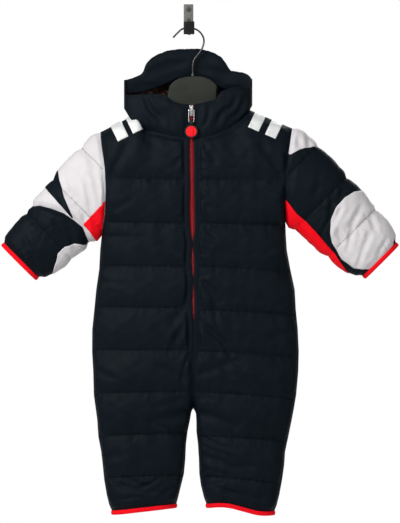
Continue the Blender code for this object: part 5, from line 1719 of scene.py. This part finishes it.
def stripe_grid(side, ridges):
    """Points on the cloth from the front over the shoulder seam to the back."""
    neck = NECK_EDGE[side][-1]
    tip_z, tip_x = SIDE_EDGE[side][0]
    drops = STRIPE_DROP * np.linspace(1.0, 0.0, STRIPE_ROWS)[:-1] ** 1.5
    steps = [("front", drop) for drop in drops] + [(None, 0.0)]
    steps += [("back", drop) for drop in drops[::-1]]
    trees = {face: surface_tree(lofted(side, face)["outer"]) for face in FACING}
    grid = []
    for face, drop in steps:
        for ridge in ridges:
            z = mix(neck[1], tip_z, (ridge - neck[0]) / (tip_x - neck[0])) - drop
            point = Vector((SIGN[side] * (ridge - STRIPE_SLANT * drop), 0.0, z))
            if face:
                aim = Vector((0.0, -FACING[face], 0.0))
                point = trees[face].ray_cast(point - 200.0 * aim, aim)[0]
            grid.append(tuple(point))
    return np.array(grid).reshape(len(steps), len(ridges), 3)


class SNOWSUIT_OT_stitching(bpy.types.Operator):
    """Sews the quilting lines, the zip band and the hood's edge"""

    bl_idname = "snowsuit.stitching"
    bl_label = "Stitching"

    def execute(self, context):
        sewn = {"navy": (thread_material("navy_thread", tinted(colours().navy, 1.5)),
                         "navy_cloth"),
                # The grey thread is nearly black: painted shade of the grooves along the grey
                # quilting lines.
                "grey": (thread_material("grey_thread", tinted(colours().grey, 0.05)),
                         "grey_cloth")}
        for side in SIGN:
            for face in FACING:
                stitches(f"{face}_{side}", body_runs(side, face), THREAD_RADIUS["navy"],
                         *sewn["navy"])
        for _, side, part, colour in SLEEVES:
            stitches(f"sleeve_{side}_{part}", sleeve_line_runs(side, lofted(side, part)),
                     THREAD_RADIUS[colour], *sewn[colour])
        name, side, colour, part, lift, rows = SLEEVE_PANELS[FOREARM_PANEL]
        runs = sleeve_line_runs(side, lofted(side, part), rows, PANEL_LIFT * lift + PANEL_WALL)
        stitches(name, runs, FOREARM_THREAD_RADIUS, *sewn[colour])
        stitches("hood", hood_runs(), THREAD_RADIUS["navy"], *sewn["navy"])
        return {"FINISHED"}


def nearest_row(values, wanted):
    return int(np.argmin(np.abs(values - wanted)))


def body_runs(side, face):
    """The quilting lines of a body panel, and the stitching beside the zip on a front."""
    panel = lofted(side, face)
    runs = []
    for line in range(1, len(QUILT_LINES[side]) + 1):
        row = nearest_row(panel["levels"], line)
        runs.append((panel["outer"][row, 2:-2], -panel["inward"][row, 2:-2]))
    return runs + (zip_band_runs(side, panel) if face == "front" else [])


def hood_runs():
    """The stitching along the hood's edges."""
    back = hood_back()
    places = [(back, nearest_row(back["rows"], at), 0) for at in HOOD_STITCH_ROWS]
    places = [(collar_panel(side), row, skipped)
              for side in SIGN for row, skipped in ((-3, 0), (2, 2))] + places
    return [(wall["outer"][row, first:], (wall["outer"] - wall["inner"])[row, first:])
            for wall, row, first in places]


def zip_band_runs(side, panel):
    """The two rows of stitching beside the zip."""
    runs = []
    for off in ZIP_STITCHES:
        path, out = [], []
        for row, inward in zip(panel["outer"], panel["inward"]):
            z = row[0, 2]
            if VALLEY_TOP_Z - 10.0 <= z <= ZIP_STITCHES_TOP_Z:
                path.append(between(inner_x(side, "front", z) + off, SIGN[side] * row[:, 0], row))
                out.append(-inward[3])
        runs.append((path, out))
    return runs


def sleeve_line_runs(side, tube, panel=None, stand=0.0):
    """The quilting lines round one sleeve or on one of its panels, open where a seam crosses."""
    runs = []
    for line in SLEEVE_LINES[side]:
        path, out = [], []
        for column in list(range(len(tube["columns"]))) + [0]:
            first, last = tube["u"][0, column], tube["u"][-1, column]
            w = tube["columns"][column][0]
            if panel and panel[0][0] <= w <= panel[-1][0]:
                first, last = table(panel, 1, w), table(panel, 2, w)
            elif panel:
                last = first
            if first + 1.0 < line < last - 1.0:
                point, inward = along_column(tube, column, line)
                path.append(point - stand * inward)
                out.append(-inward)
            else:
                runs.append((path, out))
                path, out = [], []
        runs.append((path, out))
    return [run for run in runs if len(run[0]) > 3]


class SNOWSUIT_OT_zip(bpy.types.Operator):
    """Makes the zip's tapes and teeth"""

    bl_idname = "snowsuit.zip"
    bl_label = "Zip"

    def execute(self, context):
        tape = woven("zip_tape_cloth")
        for side in SIGN:
            rows = list(collar_panel(side)["inner"][::-1])
            rows += [row for row in lofted(side, "front")["inner"][2:]
                     if VALLEY_TOP_Z < row[0, 2]]
            outer = []
            for row in rows:
                middle = table(ZIP_LINE, 1, row[0, 2])
                x = SIGN[side] * (row[:, 0] - middle)
                outer.append([(middle + SIGN[side] * off,
                               np.interp(off, x, row[:, 1]) + GAP - lift, row[0, 2])
                              for off, lift in TAPE_COLUMNS])
            outer = np.array(outer)
            cloth_piece(f"zip_tape_{side}", outer, outer + (0.0, TAPE_WALL, 0.0), tape, tape)
        self.make_teeth()
        return {"FINISHED"}

    def make_teeth(self):
        """One rounded tooth is modelled and then copied down both tapes."""
        pitch = sizes().tooth_pitch / MM
        wide, thick, share = TOOTH_SIZE
        select_only()
        bpy.ops.mesh.primitive_cube_add(size=1.0)
        tooth = bpy.context.object
        bpy.ops.object.mode_set(mode="EDIT")
        bpy.ops.transform.resize(value=(wide, thick, pitch * share))
        bpy.ops.mesh.bevel(offset=TOOTH_ROUNDING, segments=1, affect="EDGES")
        bpy.ops.object.mode_set(mode="OBJECT")
        shape = np.array([vertex.co for vertex in tooth.data.vertices])
        shape_faces = [tuple(polygon.vertices) for polygon in tooth.data.polygons]
        bpy.data.objects.remove(tooth)
        behind = lofted("right", "front")["inner"][:, 0]
        points, faces = [], []
        for number, z in enumerate(np.arange(TEETH_TOP_Z, TEETH_BOTTOM_Z, -0.5 * pitch)):
            depth = WALL - NECK_DEPTH["front"]
            if z <= behind[0, 2]:
                depth = np.interp(-z, -behind[:, 2], behind[:, 1])
            off = TOOTH_OFF if number % 2 else -TOOTH_OFF
            base = len(points) * len(shape)
            points.append(shape + (table(ZIP_LINE, 1, z) + off, depth + GAP - TOOTH_LIFT, z))
            faces += [tuple(base + k for k in face) for face in shape_faces]
        coil = hard_material("zip_coil", tinted(colours().zip_red, 0.75), (0.32, 0.45))
        finish_piece(mesh_object("zip_teeth", placed(points), faces, coil))


def garment_point(x, y, z):
    """A point of the garment's frame in metres in the part's frame."""
    return Vector(placed((x, y, z))[0])


def hard_piece(name, parts, finish, replaced=None, body="suit"):
    """Joins hard parts to one piece, and gives it its finish and its body."""
    select_only(parts[0])
    if len(parts) > 1:
        for part in parts:
            part.select_set(True)
        bpy.ops.object.join()
    obj = parts[0]
    obj.name = obj.data.name = name
    bpy.ops.object.transform_apply(location=True, rotation=True, scale=True)
    obj.data.materials.clear()
    obj.data.materials.append(hard(finish))
    bpy.ops.object.shade_smooth_by_angle(angle=math.radians(SMOOTH_ANGLE))
    belong(obj, replaced, body)


def rounded_box(size, centre, radius, segments=4, taper=1.0):
    """A box with rounded edges. Taper is its lower end's width over its upper end's."""
    select_only()
    bpy.ops.mesh.primitive_cube_add(size=1.0, location=garment_point(*centre))
    obj = bpy.context.object
    bpy.ops.object.mode_set(mode="EDIT")
    bpy.ops.transform.resize(value=[length * MM for length in size])
    mesh = bmesh.from_edit_mesh(obj.data)
    for vertex in mesh.verts:
        if vertex.co.z < 0.0:
            vertex.co.x *= taper
    bmesh.update_edit_mesh(obj.data)
    bpy.ops.mesh.bevel(offset=radius * MM, segments=segments, profile=0.5, affect="EDGES")
    bpy.ops.object.mode_set(mode="OBJECT")
    return obj


def round_bar(radius, start, end, sides, bevel):
    """A round bar between two points of the garment's frame, with rounded ends."""
    start, end = garment_point(*start), garment_point(*end)
    select_only()
    bpy.ops.mesh.primitive_cylinder_add(
        vertices=sides, radius=radius * MM, depth=(end - start).length,
        location=(start + end) * 0.5, rotation=(end - start).to_track_quat("Z", "Y").to_euler())
    obj = bpy.context.object
    if bevel:
        bpy.ops.object.mode_set(mode="EDIT")
        mesh = bmesh.from_edit_mesh(obj.data)
        for edge in mesh.edges:
            edge.select = any(len(face.verts) > 4 for face in edge.link_faces)
        bmesh.update_edit_mesh(obj.data)
        bpy.ops.mesh.bevel(offset=bevel * MM, segments=3, affect="EDGES")
        bpy.ops.object.mode_set(mode="OBJECT")
    return obj


def wire(points, radius, closed=False):
    """A round wire through points of the garment's frame, made a mesh."""
    curve = bpy.data.curves.new("wire", "CURVE")
    curve.dimensions = "3D"
    spline = curve.splines.new("POLY")
    spline.points.add(len(points) - 1)
    for target, point in zip(spline.points, points):
        target.co = (*garment_point(*point), 1.0)
    spline.use_cyclic_u = closed
    curve.bevel_depth = radius * MM
    curve.bevel_resolution = 5
    curve.use_fill_caps = True
    select_only(add_object("wire", curve))
    bpy.ops.object.convert(target="MESH")
    return bpy.context.object


class SNOWSUIT_OT_slider(bpy.types.Operator):
    """Makes the zip's slider with its bridge"""

    bl_idname = "snowsuit.slider"
    bl_label = "Zip slider"

    def execute(self, context):
        parts = [rounded_box(size, np.add((SLIDER_X, SLIDER_FRONT, SLIDER_Z), off), radius,
                             taper=taper) for size, off, radius, taper in SLIDER_BOXES]
        top, low = SLIDER_Z + BRIDGE_TOP, SLIDER_Z + BRIDGE_LOW
        front = SLIDER_FRONT + BRIDGE_TURN
        corners = ((front, top), (BRIDGE_Y + BRIDGE_TURN, top), (BRIDGE_Y, top - 1.4),
                   (BRIDGE_Y, low + 1.4), (BRIDGE_Y + BRIDGE_TURN, low), (front, low))
        parts.append(wire(smooth_rows([(SLIDER_X, y, z) for y, z in corners], 5), BRIDGE_RADIUS))
        hard_piece("zip_slider_metal", parts, "zip_metal", "zip_slider")
        return {"FINISHED"}


class SNOWSUIT_OT_pull(bpy.types.Operator):
    """Makes the link, the rubber pull and its red grip"""

    bl_idname = "snowsuit.pull"
    bl_label = "Zip pull"

    def execute(self, context):
        self.make_link()
        self.make_disc()
        self.make_grip()
        return {"FINISHED"}

    def make_link(self):
        """A rounded loop of wire through the slider's bridge."""
        loop = []
        for corner_x, corner_z in ((-1, -1), (1, -1), (1, 1), (-1, 1)):
            z = LINK_TOP_Z if corner_z > 0 else LINK_BOTTOM_Z
            turn = []
            for angle in np.linspace(0.0, math.pi / 2, 6):
                x = corner_x * (LINK_HALF_WIDTH - LINK_TURN * (1.0 - math.cos(angle)))
                turn.append((SLIDER_X + x, LINK_Y,
                             z - corner_z * LINK_TURN * (1.0 - math.sin(angle))))
            loop += turn if corner_x * corner_z > 0 else turn[::-1]
        link = wire(loop, LINK_RADIUS, closed=True)
        hard_piece("zip_link_metal", [link], "zip_metal", "zip_link", "zip_pull_body")

    def make_disc(self):
        """A round pull with a raised rim and a lug that holds the link."""
        disc = round_bar(PULL_RADIUS, (SLIDER_X, PULL_BACK_Y, PULL_Z),
                         (SLIDER_X, PULL_FRONT_Y, PULL_Z), 72, 0.9)
        bpy.ops.object.mode_set(mode="EDIT")
        mesh = bmesh.from_edit_mesh(disc.data)
        for face in mesh.faces:
            face.select = len(face.verts) > 20 and (disc.matrix_world.to_3x3() @ face.normal).y < 0
        bmesh.update_edit_mesh(disc.data)
        bpy.ops.mesh.inset(thickness=RIM_WIDTH, depth=0.0)
        bpy.ops.mesh.inset(thickness=RIM_SLOPE, depth=-RIM_DEPTH)
        bpy.ops.object.mode_set(mode="OBJECT")
        lug = rounded_box(LUG_SIZE, (SLIDER_X, LINK_Y - 0.55, LINK_BOTTOM_Z - 2.6), 0.9)
        hard_piece("zip_pull_rubber", [disc, lug], "black_rubber", "zip_pull",
                   "zip_pull_body")

    def make_grip(self):
        """A red face in the pull's rim, with a bar and ridges for the fingers."""
        front = PULL_FRONT_Y - GAP
        parts = [rounded_box(GRIP_BAR, (SLIDER_X, front - 0.45, PULL_Z), 0.6),
                 round_bar(GRIP_RADIUS, (SLIDER_X, PULL_FRONT_Y + 1.0, PULL_Z),
                           (SLIDER_X, PULL_FRONT_Y + 0.3, PULL_Z), 64, 0.25)]
        parts += [rounded_box(RIDGE_SIZE, (SLIDER_X, front - 1.1, PULL_Z + number * RIDGE_STEP),
                              0.35, segments=3) for number in range(-2, 3)]
        hard_piece("zip_pull_grip_rubber", parts, "red_grip", "zip_pull_grip",
                   "zip_pull_body")


class SNOWSUIT_OT_hanger(bpy.types.Operator):
    """Makes the moulded hanger and its wire hook"""

    bl_idname = "snowsuit.hanger"
    bl_label = "Hanger"

    def execute(self, context):
        self.make_moulding()
        self.make_wire()
        return {"FINISHED"}

    def make_moulding(self):
        """The hanger's outline drawn out from a plane row by row, and thickened."""
        rows = smooth_rows(HANGER, 4)
        select_only()
        bpy.ops.mesh.primitive_plane_add(size=0.01)
        obj = bpy.context.object
        bpy.ops.object.mode_set(mode="EDIT")
        mesh = bmesh.from_edit_mesh(obj.data)
        corners = sorted(mesh.verts, key=lambda vertex: (round(vertex.co.x, 4), vertex.co.y))
        ends = ((rows[0], corners[:2]), (rows[1], corners[2:]))
        for (x, top, bottom), pair in ends:
            pair[0].co = garment_point(x, 0.0, bottom)
            pair[1].co = garment_point(x, 0.0, top)
        for x, top, bottom in rows[2:]:
            low, high = corners[2], corners[3]
            edge = mesh.edges.get((low, high))
            made = bmesh.ops.extrude_edge_only(mesh, edges=[edge])["geom"]
            fresh = [item for item in made if isinstance(item, bmesh.types.BMVert)]
            fresh.sort(key=lambda vertex: vertex.co.z)
            fresh[0].co = garment_point(x, 0.0, bottom)
            fresh[1].co = garment_point(x, 0.0, top)
            corners[2], corners[3] = fresh
        bmesh.update_edit_mesh(obj.data)
        bpy.ops.object.mode_set(mode="OBJECT")
        wall = obj.modifiers.new("thickness", "SOLIDIFY")
        wall.thickness = 2.0 * HANGER_HALF_THICK * MM
        wall.offset = 0.0
        wall.use_even_offset = False
        edge = obj.modifiers.new("edges", "BEVEL")
        edge.width = HANGER_ROUNDING * MM
        edge.segments = 4
        edge.angle_limit = math.radians(50.0)
        for modifier in list(obj.modifiers):
            bpy.ops.object.modifier_apply(modifier=modifier.name)
        hard_piece("hanger_moulding", [obj], "moulded_plastic", "hanger")

    def make_wire(self):
        """The wire hook, with a collar where it stands in the hanger."""
        hook = wire([(x, 0.0, z) for x, z in smooth_rows(WIRE_PATH, 8)], WIRE_RADIUS)
        x, low, top = WIRE_COLLAR
        collar = round_bar(WIRE_COLLAR_RADIUS, (x, 0.0, low), (x, 0.0, top), 32, 0.7)
        hard_piece("hanger_wire", [hook, collar], "dark_steel", "hanger_hook")


class SNOWSUIT_OT_wall_hook(bpy.types.Operator):
    """Makes the wall hook: steel plate and arm, two screws, and an upright black tip"""

    bl_idname = "snowsuit.wall_hook"
    bl_label = "Wall hook"

    def execute(self, context):
        wall_y = -SEAM_PLANE_Y
        plate_x, plate_y, plate_z = PLATE_CENTRE
        tip_x, tip_y, tip_z = TIP_CENTRE
        plate = rounded_box(PLATE_SIZE, (plate_x, wall_y + plate_y, plate_z), 1.0)
        arm = round_bar(ARM_RADIUS, (tip_x, wall_y - 1.5, ARM_Z), (tip_x, wall_y + tip_y, ARM_Z),
                        48, 0.0)
        tip = rounded_box(TIP_SIZE, (tip_x, wall_y + tip_y, tip_z), 1.0)
        front = wall_y + plate_y - PLATE_SIZE[1] / 2
        screws = []
        for z, radius in SCREWS:
            screws.append(round_bar(radius, (plate_x, front + 0.5, z), (plate_x, front - 1.3, z),
                                    32, 0.5))
            screws.append(rounded_box((radius * 1.7, 0.5, 0.9), (plate_x, front - 1.35, z), 0.1,
                                      segments=1))
        hard_piece("wall_hook_plate", [plate, arm], "plate_steel", "wall_hook")
        hard_piece("wall_hook_tip", [tip], "black_paint", "wall_hook")
        hard_piece("wall_hook_screws", screws, "screw_steel")
        return {"FINISHED"}


class SNOWSUIT_OT_cuts(bpy.types.Operator):
    """Does nothing: the cuts of the cloth are not given"""

    bl_idname = "snowsuit.cuts"
    bl_label = "Cuts of the cloth"

    def execute(self, context):
        return {"FINISHED"}


def pale_floor():
    """A floor that looks nearly white without lighting the piece from below."""
    made, tree, shader = blank_material("floor")
    seen = add_node(tree, "ShaderNodeLightPath").outputs["Is Camera Ray"]
    feed(tree, shader, {
        "Base Color": (0.86, 0.86, 0.86, 1.0), "Roughness": 0.8, "Emission Color": WHITE,
        "Emission Strength": math_node(tree, "MULTIPLY", seen, FLOOR_GLOW)})
    return made


class SNOWSUIT_OT_stage(bpy.types.Operator):
    """Sets the pale floor, the soft lights and the camera"""

    bl_idname = "snowsuit.stage"
    bl_label = "Stage"

    def execute(self, context):
        scene = context.scene
        select_only()
        bpy.ops.mesh.primitive_plane_add(size=7.0, location=(0.0, 0.0, FLOOR_Z))
        floor = bpy.context.object
        floor.name = "floor"
        floor.data.materials.append(pale_floor())
        for name, place, size, power in LIGHTS:
            lamp = bpy.data.lights.new(name, "AREA")
            lamp.shape = "RECTANGLE"
            lamp.size, lamp.size_y = size
            lamp.energy = power
            obj = add_object(name, lamp)
            obj.location = place
            turn = Vector(LIGHT_AIM) - Vector(place)
            obj.rotation_euler = turn.to_track_quat("-Z", "Y").to_euler()
        self.make_world(scene)
        camera = bpy.data.cameras.new("camera")
        camera.sensor_fit = "VERTICAL"
        camera.sensor_height = SENSOR_HEIGHT
        camera.lens = SENSOR_HEIGHT * CAMERA_DISTANCE / VIEW_HEIGHT
        camera.clip_end = 50.0
        scene.camera = add_object("camera", camera)
        scene.camera.location = Vector(VIEW_CENTRE) - Vector((0.0, CAMERA_DISTANCE, 0.0))
        scene.camera.rotation_euler = (math.pi / 2, 0.0, 0.0)
        scene.view_settings.view_transform = "Standard"
        return {"FINISHED"}

    def make_world(self, scene):
        """White to look at, and a softer light on the piece."""
        world = bpy.data.worlds.new("studio")
        world.use_nodes = True
        scene.world = world
        tree = world.node_tree
        light = feed(tree, tree.nodes["Background"], {"Color": WHITE, "Strength": WORLD_LIGHT})
        seen = add_node(tree, "ShaderNodeBackground", {"Color": WHITE, "Strength": 1.0})
        ray = add_node(tree, "ShaderNodeLightPath").outputs["Is Camera Ray"]
        both = add_node(tree, "ShaderNodeMixShader", {
            0: ray, 1: light.outputs[0], 2: seen.outputs[0]})
        feed(tree, tree.nodes["World Output"], {"Surface": both.outputs[0]})


class SNOWSUIT_PT_panel(bpy.types.Panel):
    """Sizes, colours and pieces of the snowsuit"""

    bl_idname = "SNOWSUIT_PT_panel"
    bl_label = "Snowsuit"
    bl_space_type = "VIEW_3D"
    bl_region_type = "UI"
    bl_category = "Snowsuit"

    def draw(self, context):
        layout = self.layout
        for label, group in (("Sizes", context.scene.snowsuit_sizes),
                             ("Colours", context.scene.snowsuit_colours)):
            box = layout.box()
            box.label(text=label)
            for key in type(group).__annotations__:
                box.prop(group, key)
        for operator in OPERATORS:
            layout.operator(operator.bl_idname)


OPERATORS = (
    SNOWSUIT_OT_body, SNOWSUIT_OT_sleeves, SNOWSUIT_OT_sleeve_panels, SNOWSUIT_OT_hood,
    SNOWSUIT_OT_bindings, SNOWSUIT_OT_stripes, SNOWSUIT_OT_stitching, SNOWSUIT_OT_zip,
    SNOWSUIT_OT_slider, SNOWSUIT_OT_pull, SNOWSUIT_OT_hanger, SNOWSUIT_OT_wall_hook,
    SNOWSUIT_OT_cuts, SNOWSUIT_OT_stage,
)
CLASSES = (SnowsuitSizes, SnowsuitColours) + OPERATORS + (SNOWSUIT_PT_panel,)


def register():
    for kind in CLASSES:
        bpy.utils.register_class(kind)
    bpy.types.Scene.snowsuit_sizes = PointerProperty(type=SnowsuitSizes)
    bpy.types.Scene.snowsuit_colours = PointerProperty(type=SnowsuitColours)


def unregister():
    del bpy.types.Scene.snowsuit_colours
    del bpy.types.Scene.snowsuit_sizes
    for kind in reversed(CLASSES):
        bpy.utils.unregister_class(kind)


def main():
    """Makes every piece in order."""
    register()
    select_only()
    for operator in OPERATORS:
        group, name = operator.bl_idname.split(".")
        getattr(getattr(bpy.ops, group), name)()


if __name__ == "__main__":
    main()
